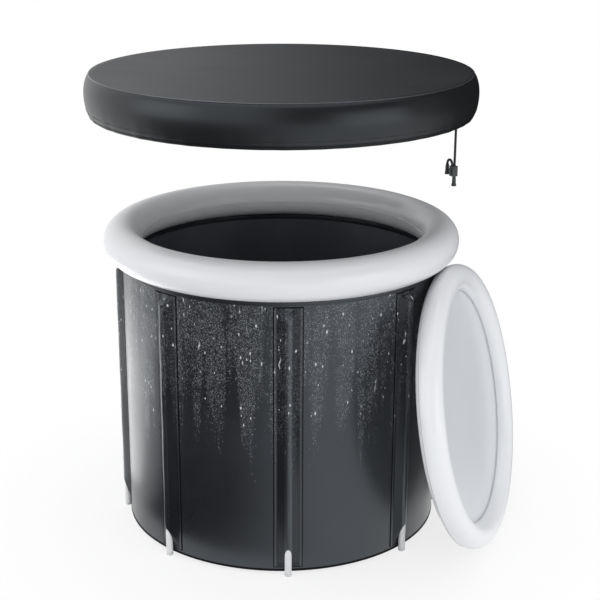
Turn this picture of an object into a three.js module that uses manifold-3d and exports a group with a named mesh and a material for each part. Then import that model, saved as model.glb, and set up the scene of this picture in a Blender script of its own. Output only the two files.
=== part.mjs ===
// A portable cold plunge tub: a soft insulated wall held up by eight poles, an inflated ring round its mouth,
// a drawstring cover lifted off above it and an inflated lid leaning against its side.
// Millimetres, +Z up. The floor is z = 0 and the tub's axis is the Z axis.
// Angles round the tub are in degrees, from -Y towards +X.

import * as THREE from "three";
import { mergeVertices } from "three/addons/utils/BufferGeometryUtils.js";
import loadManifold from "manifold-3d";

const manifold = await loadManifold();
manifold.setup();

// Fits and facets
const FIT_GAP = 0.3;
const ROUND_STEPS = 48;
const SMALL_STEPS = 16;
const ROD_STEPS = 10;
const WELD_DISTANCE = 0.0001;

// Tub wall and floor
const WALL_RADIUS = 375;
const TUB_HEIGHT = 737;
const SHELL_THICKNESS = 1.5;
const WALL_FOAM_THICKNESS = 8;
const LINER_THICKNESS = 1.5;
const BASE_FOAM_THICKNESS = 8;
const BASE_RISE = 5;
const BASE_SLOPE_WIDTH = 36;
const EDGE_ROUND = 4;
const LINER_CORNER = 12;
const BINDING_THICKNESS = 1;
const BINDING_DEPTH = 11;

// Inflated ring round the mouth
const RING_TUBE_RADIUS = 43;
const RING_INSET = 1;
const RING_SKIN = 1.2;
const RING_TUBE_SIDES = 16;
const RING_BORE_SIDES = 6;

// Poles, feet and the sleeves welded to the wall
const POLE_COUNT = 8;
const FIRST_POLE_ANGLE = 22.5;
const POLE_RADIUS = 8;
const POLE_WALL = 1.8;
const FOOT_HEIGHT = 7;
const FOOT_CHAMFER = 1.5;
const FOOT_STEM_LENGTH = 16;
const SLEEVE_FABRIC = 1.2;
const SLEEVE_BASE_WIDTH = 52;
const SLEEVE_BORDER = 4.8;
const SLEEVE_BOTTOM = 20;
const SLEEVE_TOP_MARGIN = 4;
const SLEEVE_ROOT = 12;
const LOWER_HIP = 47;
const UPPER_HIP = 16;
const POLE_ARC_STEPS = 4;

// Drain low on the back of the wall
const DRAIN_ANGLE = 180;
const DRAIN_HEIGHT = 52;
const DRAIN_TUBE_RADIUS = 13;
const DRAIN_BORE_RADIUS = 9;
const DRAIN_FLANGE_RADIUS = 24;
const DRAIN_FLANGE_THICKNESS = 3.5;
const DRAIN_GASKET_DEPTH = 3;
const DRAIN_WASHER_DEPTH = 3;
const DRAIN_NUT_RADIUS = 22;
const DRAIN_NUT_THICKNESS = 8;
const DRAIN_NUT_SIDES = 8;
const DRAIN_REACH = 32;
const DRAIN_SEAL_THICKNESS = 2;
const DRAIN_CAP_RADIUS = 17;
const DRAIN_CAP_SKIRT = 15;
const DRAIN_CAP_END = 3;
const DRAIN_CAP_RIBS = 12;
const DRAIN_RIB_HEIGHT = 1.4;
const STOPPER_HEAD_RADIUS = 12;
const STOPPER_HEAD_THICKNESS = 3;
const STOPPER_PLUG_LENGTH = 13;
const STOPPER_TAPER = 0.8;
const STOPPER_TAB_RADIUS = 8;
const STOPPER_TAB_HOLE = 4.5;
const STOPPER_TAB_THICKNESS = 3;

// Air valves of the ring and of the lid
const VALVE_NECK_RADIUS = 7;
const VALVE_BORE_RADIUS = 4.6;
const VALVE_NECK_LENGTH = 9;
const VALVE_FLANGE_RADIUS = 13;
const VALVE_FLANGE_THICKNESS = 2;
const VALVE_CAP_RADIUS = 8.5;
const VALVE_CAP_THICKNESS = 3;
const VALVE_PLUG_DEPTH = 4;
const VALVE_PLUG_TIP = 3;
const VALVE_HINGE_OFFSET = 11;
const VALVE_TAB_WIDTH = 7;

// Cover, its skirt and its pad
const COVER_LIFT = 335;
const COVER_EDGE_CLEARANCE = 18.4;
const COVER_FABRIC = 1.5;
const COVER_LINING = 1;
const COVER_FOAM = 8;
const SKIRT_DEPTH = 95;
const SKIRT_BULGE = 13;
const SKIRT_BULGE_DROP = 40;
const SKIRT_STEPS = 4;
const HEM_CLEARANCE = 10.5;
const HEM_RADIUS = 6;
const HEM_STEPS = 4;
const HEM_FOLD_RISE = 12;

// Drawstring in the hem, its hanging end and the cord lock on it
const CORD_RADIUS = 3;
const CORD_STEPS = 8;
const LOOP_SIDES = 6;
const TAIL_ANGLE = 126;
const TAIL_LENGTH = 186;
const EYELET_NECK_WALL = 1.2;
const EYELET_NECK_LENGTH = 4;
const EYELET_FLANGE = 2;
const EYELET_THICKNESS = 1.5;
const BELL_LENGTH = 25;
const BELL_TOP_RADIUS = 4.1;
const BELL_END_RADIUS = 6;
const BELL_GRIP = 8;
const BELL_WALL_STEPS = 10;
const LOCK_TURN = -48;
const LOCK_WIDTH = 16;
const LOCK_BACK = 6;
const LOCK_FRONT = 10.5;
const LOCK_HEIGHT = 24;
const LOCK_CORNER = 2.5;
const LOCK_CORD_CLEARANCE = 0.4;
const BUTTON_WIDTH = 8;
const BUTTON_HEIGHT = 13;
const BUTTON_TRAVEL = 2;
const BUTTON_POCKET = 4.5;
const BUTTON_PROUD = 2.4;
const SHORT_END_REACH = 6.4;
const SHORT_END_RISE = 1;
const SHORT_END_BEND = 12;
const SHORT_END_DROP = 8.5;
const SHORT_END_STEPS = 10;

// Lid leaning against the tub at +X
const LID_TUBE_RADIUS = 30;
const LID_OVERLAP = 1;
const LID_SKIN = 1.2;
const LID_STEPS = 40;
const LID_TUBE_SIDES = 12;
const LID_BORE_SIDES = 6;
const LID_LEAN = 11.5;
const LID_MEMBRANE_ANGLE = 9;
const LID_MEMBRANE_THICKNESS = 1.4;
const LID_VALVE_STEP = 8.5;

// Radii and heights that follow from the sizes above
const SHELL_INNER = WALL_RADIUS - SHELL_THICKNESS;
const FOAM_OUTER = SHELL_INNER - FIT_GAP;
const FOAM_INNER = FOAM_OUTER - WALL_FOAM_THICKNESS;
const LINER_OUTER = FOAM_INNER - FIT_GAP;
const LINER_INNER = LINER_OUTER - LINER_THICKNESS;
const BASE_FLAT_RADIUS = WALL_RADIUS - EDGE_ROUND - BASE_SLOPE_WIDTH;
const EDGE_TOP = BASE_RISE + EDGE_ROUND;
const BASE_FOAM_BOTTOM = SHELL_THICKNESS + FIT_GAP;
const BASE_FOAM_TOP = BASE_FOAM_BOTTOM + BASE_FOAM_THICKNESS;
const LINER_BOTTOM = BASE_FOAM_TOP + FIT_GAP;
const LINER_FLOOR = LINER_BOTTOM + LINER_THICKNESS;
const RING_RADIUS = WALL_RADIUS - RING_INSET;
const RING_CENTRE = TUB_HEIGHT - RING_TUBE_RADIUS;
const RING_OUTER = RING_RADIUS + RING_TUBE_RADIUS;
const RING_INNER = RING_RADIUS - RING_TUBE_RADIUS;
const BINDING_TOP = RING_CENTRE - RING_TUBE_RADIUS - FIT_GAP;
const BINDING_BOTTOM = BINDING_TOP - BINDING_DEPTH;
const WALL_TOP = BINDING_TOP - BINDING_THICKNESS - FIT_GAP;
const FACET_SHARE = Math.cos(Math.PI / ROUND_STEPS);

const POLE_CENTRE = WALL_RADIUS + FIT_GAP + POLE_RADIUS;
const POCKET_RADIUS = POLE_RADIUS + FIT_GAP;
const SLEEVE_TOP = BINDING_BOTTOM - SLEEVE_TOP_MARGIN;
const HIP_BOTTOM = SLEEVE_BOTTOM + SLEEVE_BORDER;
const HIP_TOP = SLEEVE_TOP - SLEEVE_BORDER;

const DRAIN_SEAT = LINER_INNER - DRAIN_GASKET_DEPTH;
const DRAIN_NUT_SEAT = WALL_RADIUS + DRAIN_WASHER_DEPTH;
const DRAIN_END = WALL_RADIUS + DRAIN_REACH;
const DRAIN_CAP_SEAT = DRAIN_END + FIT_GAP + DRAIN_SEAL_THICKNESS + FIT_GAP;

const COVER_TOP = COVER_LINING + FIT_GAP + COVER_FOAM + FIT_GAP + COVER_FABRIC;
const COVER_EDGE = RING_OUTER + COVER_EDGE_CLEARANCE;
const SKIRT_TOP = COVER_TOP - COVER_FABRIC - FIT_GAP;
const HEM_CENTRE_RADIUS = RING_OUTER + HEM_CLEARANCE + HEM_RADIUS;
const HEM_BOTTOM = COVER_TOP - SKIRT_DEPTH;
const HEM_CENTRE = HEM_BOTTOM + HEM_RADIUS;
const LOOP_HEIGHT = HEM_CENTRE - (HEM_RADIUS - COVER_FABRIC - CORD_RADIUS - FIT_GAP) / 2;
const LOOP_TOP = LOOP_HEIGHT + 2 * CORD_RADIUS;
const PAD_RADIUS = COVER_EDGE - COVER_FABRIC - FIT_GAP;
const EYELET_BORE = CORD_RADIUS + FIT_GAP;
const EYELET_NECK = EYELET_BORE + EYELET_NECK_WALL;
const EYELET_BOTTOM = HEM_BOTTOM - FIT_GAP - EYELET_THICKNESS;
const TAIL_TOP = EYELET_BOTTOM + EYELET_THICKNESS;
const TAIL_END = TAIL_TOP - TAIL_LENGTH;
const BELL_TOP = TAIL_END + BELL_GRIP;
const LOCK_BOTTOM = BELL_TOP + FIT_GAP;
const LOCK_TOP = LOCK_BOTTOM + LOCK_HEIGHT;

const LID_RING_RADIUS = RING_INNER + LID_OVERLAP - LID_TUBE_RADIUS;
const LID_FLAT_RADIUS = LID_TUBE_RADIUS * Math.cos(Math.PI / LID_TUBE_SIDES);

// Finishes
function finish(colour, roughness, metalness = 0) {
  return new THREE.MeshStandardMaterial({ color: colour, roughness, metalness });
}

const blackVinyl = finish(0x26282c, 0.42);
const blackFabric = finish(0x35363a, 0.7);
const sleeveVinyl = finish(0x2b2d31, 0.45);
const foam = finish(0xd6d3cb, 0.95);
const linerVinyl = finish(0x4b4f55, 0.5);
const whiteVinyl = finish(0xe6e7ec, 0.3);
const lidVinyl = finish(0xd9dce0, 0.28);
const membraneVinyl = finish(0xc8ccd1, 0.35);
const polePlastic = finish(0xe6e6e8, 0.4);
const footPlastic = finish(0xcfd2d6, 0.5);
const valvePlastic = finish(0xdfe1e4, 0.4);
const drainPlastic = finish(0x2a2c2f, 0.45);
const rubber = finish(0x1e1e20, 0.85);
const cordWeave = finish(0x303336, 0.85);
const lockPlastic = finish(0x3a3f40, 0.5);
const eyeletMetal = finish(0x8d9094, 0.35, 0.9);

// Geometry helpers
function lathe(profile, steps = ROUND_STEPS) {
  const points = profile.map(([radius, height]) => new THREE.Vector2(radius, height));
  const first = profile[0];
  const last = profile[profile.length - 1];
  if (first[0] !== 0 || last[0] !== 0) {
    points.push(points[0].clone());
  }
  return new THREE.LatheGeometry(points, steps).rotateX(Math.PI / 2);
}

function solidOf(geometry) {
  const bare = new THREE.BufferGeometry();
  bare.setAttribute("position", geometry.getAttribute("position"));
  bare.setIndex(geometry.index);
  const welded = mergeVertices(bare, WELD_DISTANCE);
  const corners = welded.index.array;
  const kept = [];
  for (let start = 0; start < corners.length; start += 3) {
    const [a, b, c] = corners.slice(start, start + 3);
    if (a !== b && b !== c && c !== a) {
      kept.push(a, b, c);
    }
  }
  const mesh = new manifold.Mesh({
    numProp: 3,
    vertProperties: welded.getAttribute("position").array,
    triVerts: new Uint32Array(kept),
  });
  return new manifold.Manifold(mesh);
}

function geometryOf(solid) {
  const mesh = solid.getMesh();
  const geometry = new THREE.BufferGeometry();
  geometry.setAttribute("position", new THREE.BufferAttribute(mesh.vertProperties, 3));
  geometry.setIndex(new THREE.BufferAttribute(mesh.triVerts, 1));
  const flat = geometry.toNonIndexed();
  flat.computeVertexNormals();
  return flat;
}

function addPiece(parent, name, solid, material) {
  const mesh = new THREE.Mesh(geometryOf(solid), material);
  mesh.name = name;
  parent.add(mesh);
  return mesh;
}

function box(width, depth, height, x, y, z) {
  return solidOf(new THREE.BoxGeometry(width, depth, height).translate(x, y, z));
}

// A round bar along +Y, from one distance to another.
function barAlongY(radius, from, to, height, steps = SMALL_STEPS) {
  const bar = new THREE.CylinderGeometry(radius, radius, to - from, steps);
  return solidOf(bar.translate(0, (from + to) / 2, height));
}

// A round bar along +Z.
function barAlongZ(radius, from, to, x, y, steps = SMALL_STEPS) {
  const bar = new THREE.CylinderGeometry(radius, radius, to - from, steps).rotateX(Math.PI / 2);
  return solidOf(bar.translate(x, y, (from + to) / 2));
}

function extrudeUp(shape, from, to, curveSegments = SMALL_STEPS) {
  const prism = new THREE.ExtrudeGeometry(shape, { depth: to - from, bevelEnabled: false, curveSegments });
  return prism.translate(0, 0, from);
}

// A frame whose +Y points away from the tub's axis at the given angle.
function wallFrame(degrees) {
  const frame = new THREE.Group();
  frame.rotation.z = THREE.MathUtils.degToRad(degrees + 180);
  return frame;
}

// A many-sided round outline with a flat at its top and bottom, its flats at the given radius.
function roundOutline(centreRadius, centreHeight, radius, sides) {
  const reach = radius / Math.cos(Math.PI / sides);
  return Array.from({ length: sides }, (_, side) => {
    const turn = ((side + 0.5) * 2 * Math.PI) / sides;
    return [centreRadius + reach * Math.cos(turn), centreHeight + reach * Math.sin(turn)];
  });
}

// A hollow inflated ring about Z.
function inflatedRing(radius, height, tubeRadius, skin, sides, boreSides, steps) {
  const boreRadius = (tubeRadius - skin) * Math.cos(Math.PI / boreSides);
  const outside = solidOf(lathe(roundOutline(radius, height, tubeRadius, sides), steps));
  const inside = solidOf(lathe(roundOutline(radius, height, boreRadius, boreSides), steps));
  return outside.subtract(inside);
}

// The outline of a bent strip: its outer path, then back along the path moved inwards by its thickness.
function stripOutline(path, thickness) {
  const inner = path.map((point, place) => {
    const before = path[Math.max(place - 1, 0)];
    const after = path[Math.min(place + 1, path.length - 1)];
    const along = after.clone().sub(before).normalize();
    return new THREE.Vector2(point.x + along.y * thickness, point.y - along.x * thickness);
  });
  return [...path.toReversed(), ...inner].map((point) => [point.x, point.y]);
}

// Tub wall and floor
function withDrainHole(layer) {
  const hole = barAlongY(DRAIN_TUBE_RADIUS + FIT_GAP, LINER_INNER / 2, DRAIN_END, DRAIN_HEIGHT);
  return layer.subtract(hole);
}

function addShell(tub) {
  const slopeEnd = WALL_RADIUS - EDGE_ROUND;
  const profile = [
    [0, 0],
    [BASE_FLAT_RADIUS, 0],
    [slopeEnd, BASE_RISE],
    [WALL_RADIUS, EDGE_TOP],
    [WALL_RADIUS, WALL_TOP],
    [SHELL_INNER, WALL_TOP],
    [SHELL_INNER, EDGE_TOP],
    [slopeEnd - SHELL_THICKNESS / 2, BASE_RISE + SHELL_THICKNESS],
    [BASE_FLAT_RADIUS, SHELL_THICKNESS],
    [0, SHELL_THICKNESS],
  ];
  addPiece(tub, "outer_shell", withDrainHole(solidOf(lathe(profile))), blackVinyl);
}

function addFoam(tub) {
  const foamBottom = EDGE_TOP + FIT_GAP;
  const wallProfile = [
    [FOAM_INNER, foamBottom],
    [FOAM_OUTER, foamBottom],
    [FOAM_OUTER, WALL_TOP],
    [FOAM_INNER, WALL_TOP],
  ];
  addPiece(tub, "wall_foam", withDrainHole(solidOf(lathe(wallProfile))), foam);

  const slope = BASE_RISE / (BASE_SLOPE_WIDTH - SHELL_THICKNESS / 2);
  const edgeBottom = BASE_FOAM_BOTTOM + (LINER_OUTER - BASE_FLAT_RADIUS) * slope;
  const discProfile = [
    [0, BASE_FOAM_BOTTOM],
    [BASE_FLAT_RADIUS, BASE_FOAM_BOTTOM],
    [LINER_OUTER, edgeBottom],
    [LINER_OUTER, BASE_FOAM_TOP],
    [0, BASE_FOAM_TOP],
  ];
  addPiece(tub, "base_foam", solidOf(lathe(discProfile)), foam);
}

function addLiner(tub) {
  const profile = [
    [0, LINER_BOTTOM],
    [LINER_OUTER - LINER_CORNER, LINER_BOTTOM],
    [LINER_OUTER, LINER_BOTTOM + LINER_CORNER],
    [LINER_OUTER, WALL_TOP],
    [LINER_INNER, WALL_TOP],
    [LINER_INNER, LINER_BOTTOM + LINER_CORNER + LINER_THICKNESS / 2],
    [LINER_OUTER - LINER_CORNER - LINER_THICKNESS / 2, LINER_FLOOR],
    [0, LINER_FLOOR],
  ];
  addPiece(tub, "inner_liner", withDrainHole(solidOf(lathe(profile))), linerVinyl);
}

// The tape that folds over the top edge of shell, foam and liner.
function addBinding(tub) {
  const outer = WALL_RADIUS + FIT_GAP + BINDING_THICKNESS;
  const inner = LINER_INNER - FIT_GAP - BINDING_THICKNESS;
  const underside = BINDING_TOP - BINDING_THICKNESS;
  const profile = [
    [outer, BINDING_BOTTOM],
    [outer, BINDING_TOP],
    [inner, BINDING_TOP],
    [inner, BINDING_BOTTOM],
    [inner + BINDING_THICKNESS, BINDING_BOTTOM],
    [inner + BINDING_THICKNESS, underside],
    [outer - BINDING_THICKNESS, underside],
    [outer - BINDING_THICKNESS, BINDING_BOTTOM],
  ];
  addPiece(tub, "top_binding", solidOf(lathe(profile)), blackFabric);
}

// Air valve: a flanged neck through the skin and a cap that swings open on a strap.
// Its +Z points out of the skin.
function addValve(frame, prefix) {
  const flangeTop = FIT_GAP + VALVE_FLANGE_THICKNESS;
  const bodyProfile = [
    [VALVE_BORE_RADIUS, -VALVE_NECK_LENGTH],
    [VALVE_NECK_RADIUS, -VALVE_NECK_LENGTH],
    [VALVE_NECK_RADIUS, FIT_GAP],
    [VALVE_FLANGE_RADIUS, FIT_GAP],
    [VALVE_FLANGE_RADIUS, flangeTop],
    [VALVE_BORE_RADIUS, flangeTop],
  ];
  addPiece(frame, `${prefix}_valve_body`, solidOf(lathe(bodyProfile, SMALL_STEPS)), valvePlastic);

  const capBottom = flangeTop + FIT_GAP;
  const capTop = capBottom + VALVE_CAP_THICKNESS;
  const hingeHeight = capBottom + VALVE_CAP_THICKNESS / 2;
  const plugRoot = VALVE_BORE_RADIUS - FIT_GAP;
  const capProfile = [
    [0, flangeTop - VALVE_PLUG_DEPTH],
    [VALVE_PLUG_TIP, flangeTop - VALVE_PLUG_DEPTH],
    [plugRoot - FIT_GAP, capBottom],
    [VALVE_CAP_RADIUS, capBottom],
    [VALVE_CAP_RADIUS, capTop],
    [0, capTop],
  ];
  const strapMiddle = -VALVE_HINGE_OFFSET / 2;
  const strap = box(VALVE_TAB_WIDTH, VALVE_HINGE_OFFSET, VALVE_CAP_THICKNESS, 0, strapMiddle, hingeHeight);
  const knuckle = new THREE.CylinderGeometry(
    VALVE_CAP_THICKNESS / 2, VALVE_CAP_THICKNESS / 2, VALVE_TAB_WIDTH, ROD_STEPS,
  );
  knuckle.rotateZ(Math.PI / 2).translate(0, -VALVE_HINGE_OFFSET, hingeHeight);
  const cap = solidOf(lathe(capProfile, SMALL_STEPS)).add(strap).add(solidOf(knuckle));
  addPiece(frame, `${prefix}_valve_cap`, cap, valvePlastic);
}

function valveHole() {
  return barAlongZ(VALVE_NECK_RADIUS + FIT_GAP, -VALVE_NECK_LENGTH, VALVE_NECK_LENGTH, 0, 0);
}

// The ring's valve sits one flat below the middle of its inner side, on the middle of a facet.
function ringValveFrame() {
  const drop = (2 * Math.PI) / RING_TUBE_SIDES;
  const reach = RING_TUBE_RADIUS;
  const frame = new THREE.Group();
  const radius = (RING_RADIUS - reach * Math.cos(drop)) * FACET_SHARE;
  frame.position.set(0, -radius, RING_CENTRE - reach * Math.sin(drop));
  frame.rotation.set(-Math.PI / 2 - drop, 0, 0);
  frame.rotateZ(Math.PI);
  return frame;
}

function addRing(tub) {
  const halfFacet = new THREE.Group();
  halfFacet.rotation.z = Math.PI / ROUND_STEPS;
  const valve = ringValveFrame();
  halfFacet.add(valve);
  halfFacet.updateMatrixWorld(true);
  tub.add(halfFacet);

  const ring = inflatedRing(
    RING_RADIUS, RING_CENTRE, RING_TUBE_RADIUS, RING_SKIN, RING_TUBE_SIDES, RING_BORE_SIDES, ROUND_STEPS,
  );
  const hole = solidOf(geometryOf(valveHole()).applyMatrix4(valve.matrixWorld));
  addPiece(tub, "top_ring", ring.subtract(hole), whiteVinyl);
  addValve(valve, "ring");
}

// Poles and sleeves, in a frame whose +Y points away from the tub
function drapeOutline(halfBase, roundRadius) {
  const rise = POLE_CENTRE - WALL_RADIUS;
  const reach = Math.hypot(halfBase, rise);
  const touch = Math.acos(roundRadius / reach) - Math.atan2(rise, halfBase);
  const outline = new THREE.Shape();
  outline.moveTo(halfBase, WALL_RADIUS - SLEEVE_ROOT);
  outline.lineTo(halfBase, WALL_RADIUS);
  outline.absarc(0, POLE_CENTRE, roundRadius, touch, Math.PI - touch, false);
  outline.lineTo(-halfBase, WALL_RADIUS);
  outline.lineTo(-halfBase, WALL_RADIUS - SLEEVE_ROOT);
  return outline;
}

function hipOutline(ridge, bottom, lowerHip, top, upperHip) {
  const outline = new THREE.Shape();
  outline.moveTo(WALL_RADIUS - SLEEVE_ROOT, bottom);
  outline.lineTo(WALL_RADIUS, bottom);
  outline.lineTo(ridge, bottom + lowerHip);
  outline.lineTo(ridge, top - upperHip);
  outline.lineTo(WALL_RADIUS, top);
  outline.lineTo(WALL_RADIUS - SLEEVE_ROOT, top);
  return outline;
}

// Fabric drawn over a pole: the cross-section run up the wall, cut to its side view,
// which has a sloping hip at each end.
function drapedForm(halfBase, roundRadius, bottom, top) {
  const ridge = POLE_CENTRE + roundRadius;
  const run = solidOf(extrudeUp(drapeOutline(halfBase, roundRadius), bottom, top, POLE_ARC_STEPS));
  const side = extrudeUp(hipOutline(ridge, bottom, LOWER_HIP, top, UPPER_HIP), -halfBase, halfBase);
  const turn = new THREE.Matrix4().makeBasis(
    new THREE.Vector3(0, 1, 0), new THREE.Vector3(0, 0, 1), new THREE.Vector3(1, 0, 0),
  );
  return run.intersect(solidOf(side.applyMatrix4(turn)));
}

function hipShift(hip) {
  const rise = POLE_CENTRE + POCKET_RADIUS - WALL_RADIUS;
  return (SLEEVE_FABRIC * Math.hypot(hip, rise)) / rise;
}

function sleeveSolid() {
  const halfBase = SLEEVE_BASE_WIDTH / 2;
  const face = WALL_RADIUS + FIT_GAP;
  const band = solidOf(lathe([
    [face, SLEEVE_BOTTOM],
    [face + SLEEVE_FABRIC, SLEEVE_BOTTOM],
    [face + SLEEVE_FABRIC, SLEEVE_TOP],
    [face, SLEEVE_TOP],
  ]));
  const borderWidth = SLEEVE_BASE_WIDTH + 2 * SLEEVE_BORDER;
  const border = band.intersect(box(borderWidth, WALL_RADIUS, TUB_HEIGHT, 0, WALL_RADIUS, TUB_HEIGHT / 2));
  const outside = drapedForm(halfBase, POCKET_RADIUS + SLEEVE_FABRIC, HIP_BOTTOM, HIP_TOP);
  const inside = drapedForm(
    halfBase - SLEEVE_FABRIC, POCKET_RADIUS, HIP_BOTTOM + hipShift(LOWER_HIP), HIP_TOP - hipShift(UPPER_HIP),
  );
  const wall = wallDrum(face);
  const mouthTop = HIP_BOTTOM + LOWER_HIP + POLE_RADIUS;
  const mouth = barAlongZ(POCKET_RADIUS, 0, mouthTop, 0, POLE_CENTRE, ROD_STEPS);
  return border.add(outside).subtract(inside).subtract(wall).subtract(mouth);
}

// The wall as a filled drum with the wall's own facets.
function wallDrum(radius) {
  return solidOf(lathe([[0, 0], [radius, 0], [radius, TUB_HEIGHT], [0, TUB_HEIGHT]]));
}

function poleSolid() {
  const bottom = FOOT_HEIGHT + FIT_GAP;
  const top = HIP_TOP - UPPER_HIP - hipShift(UPPER_HIP) - FIT_GAP;
  const bore = POLE_RADIUS - POLE_WALL;
  return solidOf(lathe([[bore, bottom], [POLE_RADIUS, bottom], [POLE_RADIUS, top], [bore, top]], ROD_STEPS));
}

function footSolid() {
  const stem = POLE_RADIUS - POLE_WALL - FIT_GAP;
  return solidOf(lathe([
    [0, 0],
    [POLE_RADIUS - FOOT_CHAMFER, 0],
    [POLE_RADIUS, FOOT_CHAMFER],
    [POLE_RADIUS, FOOT_HEIGHT],
    [stem, FOOT_HEIGHT],
    [stem, FOOT_HEIGHT + FOOT_STEM_LENGTH],
    [0, FOOT_HEIGHT + FOOT_STEM_LENGTH],
  ], ROD_STEPS));
}

function addPoles(tub) {
  const sleeve = sleeveSolid();
  const pole = poleSolid();
  const foot = footSolid();
  for (let place = 0; place < POLE_COUNT; place += 1) {
    const frame = wallFrame(FIRST_POLE_ANGLE + (360 * place) / POLE_COUNT);
    tub.add(frame);
    addPiece(frame, `pole_sleeve_${place + 1}`, sleeve, sleeveVinyl);
    addPiece(frame, `support_pole_${place + 1}`, pole, polePlastic).position.y = POLE_CENTRE;
    addPiece(frame, `pole_foot_${place + 1}`, foot, footPlastic).position.y = POLE_CENTRE;
  }
}

// Drain, in a frame whose +Y points away from the tub; profiles run along the drain's own axis
function alongDrain(profile, steps = SMALL_STEPS) {
  return solidOf(lathe(profile, steps).rotateX(-Math.PI / 2).translate(0, 0, DRAIN_HEIGHT));
}

function addDrainFitting(frame) {
  const fitting = alongDrain([
    [DRAIN_BORE_RADIUS, DRAIN_SEAT - DRAIN_FLANGE_THICKNESS],
    [DRAIN_FLANGE_RADIUS, DRAIN_SEAT - DRAIN_FLANGE_THICKNESS],
    [DRAIN_FLANGE_RADIUS, DRAIN_SEAT],
    [DRAIN_TUBE_RADIUS, DRAIN_SEAT],
    [DRAIN_TUBE_RADIUS, DRAIN_END],
    [DRAIN_BORE_RADIUS, DRAIN_END],
  ]);
  addPiece(frame, "drain_fitting", fitting, drainPlastic);
}

// The gasket and the washer follow the round of the wall on the side that meets it.
function addDrainSeals(frame) {
  const hole = DRAIN_TUBE_RADIUS + FIT_GAP;
  const disc = (from, to) => alongDrain([
    [hole, from],
    [DRAIN_FLANGE_RADIUS, from],
    [DRAIN_FLANGE_RADIUS, to],
    [hole, to],
  ]);
  const inside = wallDrum(LINER_INNER - FIT_GAP);
  const gasket = disc(DRAIN_SEAT + FIT_GAP, WALL_RADIUS).intersect(inside);
  addPiece(frame, "drain_gasket", gasket, rubber);
  const washer = disc(LINER_INNER, DRAIN_NUT_SEAT).subtract(wallDrum(WALL_RADIUS + FIT_GAP));
  addPiece(frame, "drain_washer", washer, rubber);
}

function lobedOutline(radius, lobeHeight, lobes, holeRadius) {
  const outline = new THREE.Shape();
  const points = Array.from({ length: lobes * 4 }, (_, place) => {
    const turn = (2 * Math.PI * place) / (lobes * 4);
    const reach = radius + (place % 4 < 2 ? lobeHeight : 0);
    return new THREE.Vector2(reach * Math.cos(turn), reach * Math.sin(turn));
  });
  outline.setFromPoints(points);
  if (holeRadius > 0) {
    const hole = new THREE.Path();
    hole.absarc(0, 0, holeRadius, 0, 2 * Math.PI, true);
    outline.holes.push(hole);
  }
  return outline;
}

function addDrainNut(frame) {
  const from = DRAIN_NUT_SEAT + FIT_GAP;
  const hole = DRAIN_TUBE_RADIUS + FIT_GAP;
  const outline = lobedOutline(DRAIN_NUT_RADIUS, DRAIN_RIB_HEIGHT, DRAIN_NUT_SIDES, hole);
  const nut = extrudeUp(outline, from, from + DRAIN_NUT_THICKNESS).rotateX(-Math.PI / 2);
  addPiece(frame, "drain_nut", solidOf(nut.translate(0, 0, DRAIN_HEIGHT)), drainPlastic);
}

function addDrainCap(frame) {
  const seal = alongDrain([
    [0, DRAIN_END + FIT_GAP],
    [DRAIN_TUBE_RADIUS - FIT_GAP, DRAIN_END + FIT_GAP],
    [DRAIN_TUBE_RADIUS - FIT_GAP, DRAIN_END + FIT_GAP + DRAIN_SEAL_THICKNESS],
    [0, DRAIN_END + FIT_GAP + DRAIN_SEAL_THICKNESS],
  ]);
  addPiece(frame, "drain_cap_seal", seal, rubber);

  const capStart = DRAIN_END - DRAIN_CAP_SKIRT;
  const outline = lobedOutline(DRAIN_CAP_RADIUS, DRAIN_RIB_HEIGHT, DRAIN_CAP_RIBS, 0);
  const grip = extrudeUp(outline, capStart, DRAIN_CAP_SEAT + DRAIN_CAP_END);
  const cap = solidOf(grip.rotateX(-Math.PI / 2).translate(0, 0, DRAIN_HEIGHT));
  const socket = barAlongY(DRAIN_TUBE_RADIUS + FIT_GAP, capStart - FIT_GAP, DRAIN_CAP_SEAT, DRAIN_HEIGHT);
  addPiece(frame, "drain_cap", cap.subtract(socket), drainPlastic);
}

function addDrainStopper(frame) {
  const headFrom = DRAIN_SEAT - DRAIN_FLANGE_THICKNESS - FIT_GAP - STOPPER_HEAD_THICKNESS;
  const headTo = headFrom + STOPPER_HEAD_THICKNESS;
  const plugRadius = DRAIN_BORE_RADIUS - FIT_GAP;
  const plug = alongDrain([
    [0, headFrom],
    [STOPPER_HEAD_RADIUS, headFrom],
    [STOPPER_HEAD_RADIUS, headTo],
    [plugRadius, headTo],
    [plugRadius - STOPPER_TAPER, headTo + STOPPER_PLUG_LENGTH],
    [0, headTo + STOPPER_PLUG_LENGTH],
  ]);
  const tab = new THREE.Shape();
  tab.absarc(0, headFrom, STOPPER_TAB_RADIUS, 0, 2 * Math.PI, false);
  const eye = new THREE.Path();
  eye.absarc(0, headFrom - STOPPER_TAB_RADIUS + STOPPER_TAB_HOLE, STOPPER_TAB_HOLE / 2, 0, 2 * Math.PI, true);
  tab.holes.push(eye);
  const half = STOPPER_TAB_THICKNESS / 2;
  const grip = solidOf(extrudeUp(tab, DRAIN_HEIGHT - half, DRAIN_HEIGHT + half, SMALL_STEPS / 2));
  const keep = box(TUB_HEIGHT, TUB_HEIGHT, TUB_HEIGHT, 0, headTo - TUB_HEIGHT / 2, DRAIN_HEIGHT);
  addPiece(frame, "drain_stopper", plug.add(grip.intersect(keep)), rubber);
}

function addDrain(tub) {
  const frame = wallFrame(DRAIN_ANGLE);
  tub.add(frame);
  addDrainFitting(frame);
  addDrainSeals(frame);
  addDrainNut(frame);
  addDrainCap(frame);
  addDrainStopper(frame);
}

// Cover: z = 0 is the face of its lining that rests on the ring
function disc(radius, from, to) {
  return solidOf(lathe([[0, from], [radius, from], [radius, to], [0, to]]));
}

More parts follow.
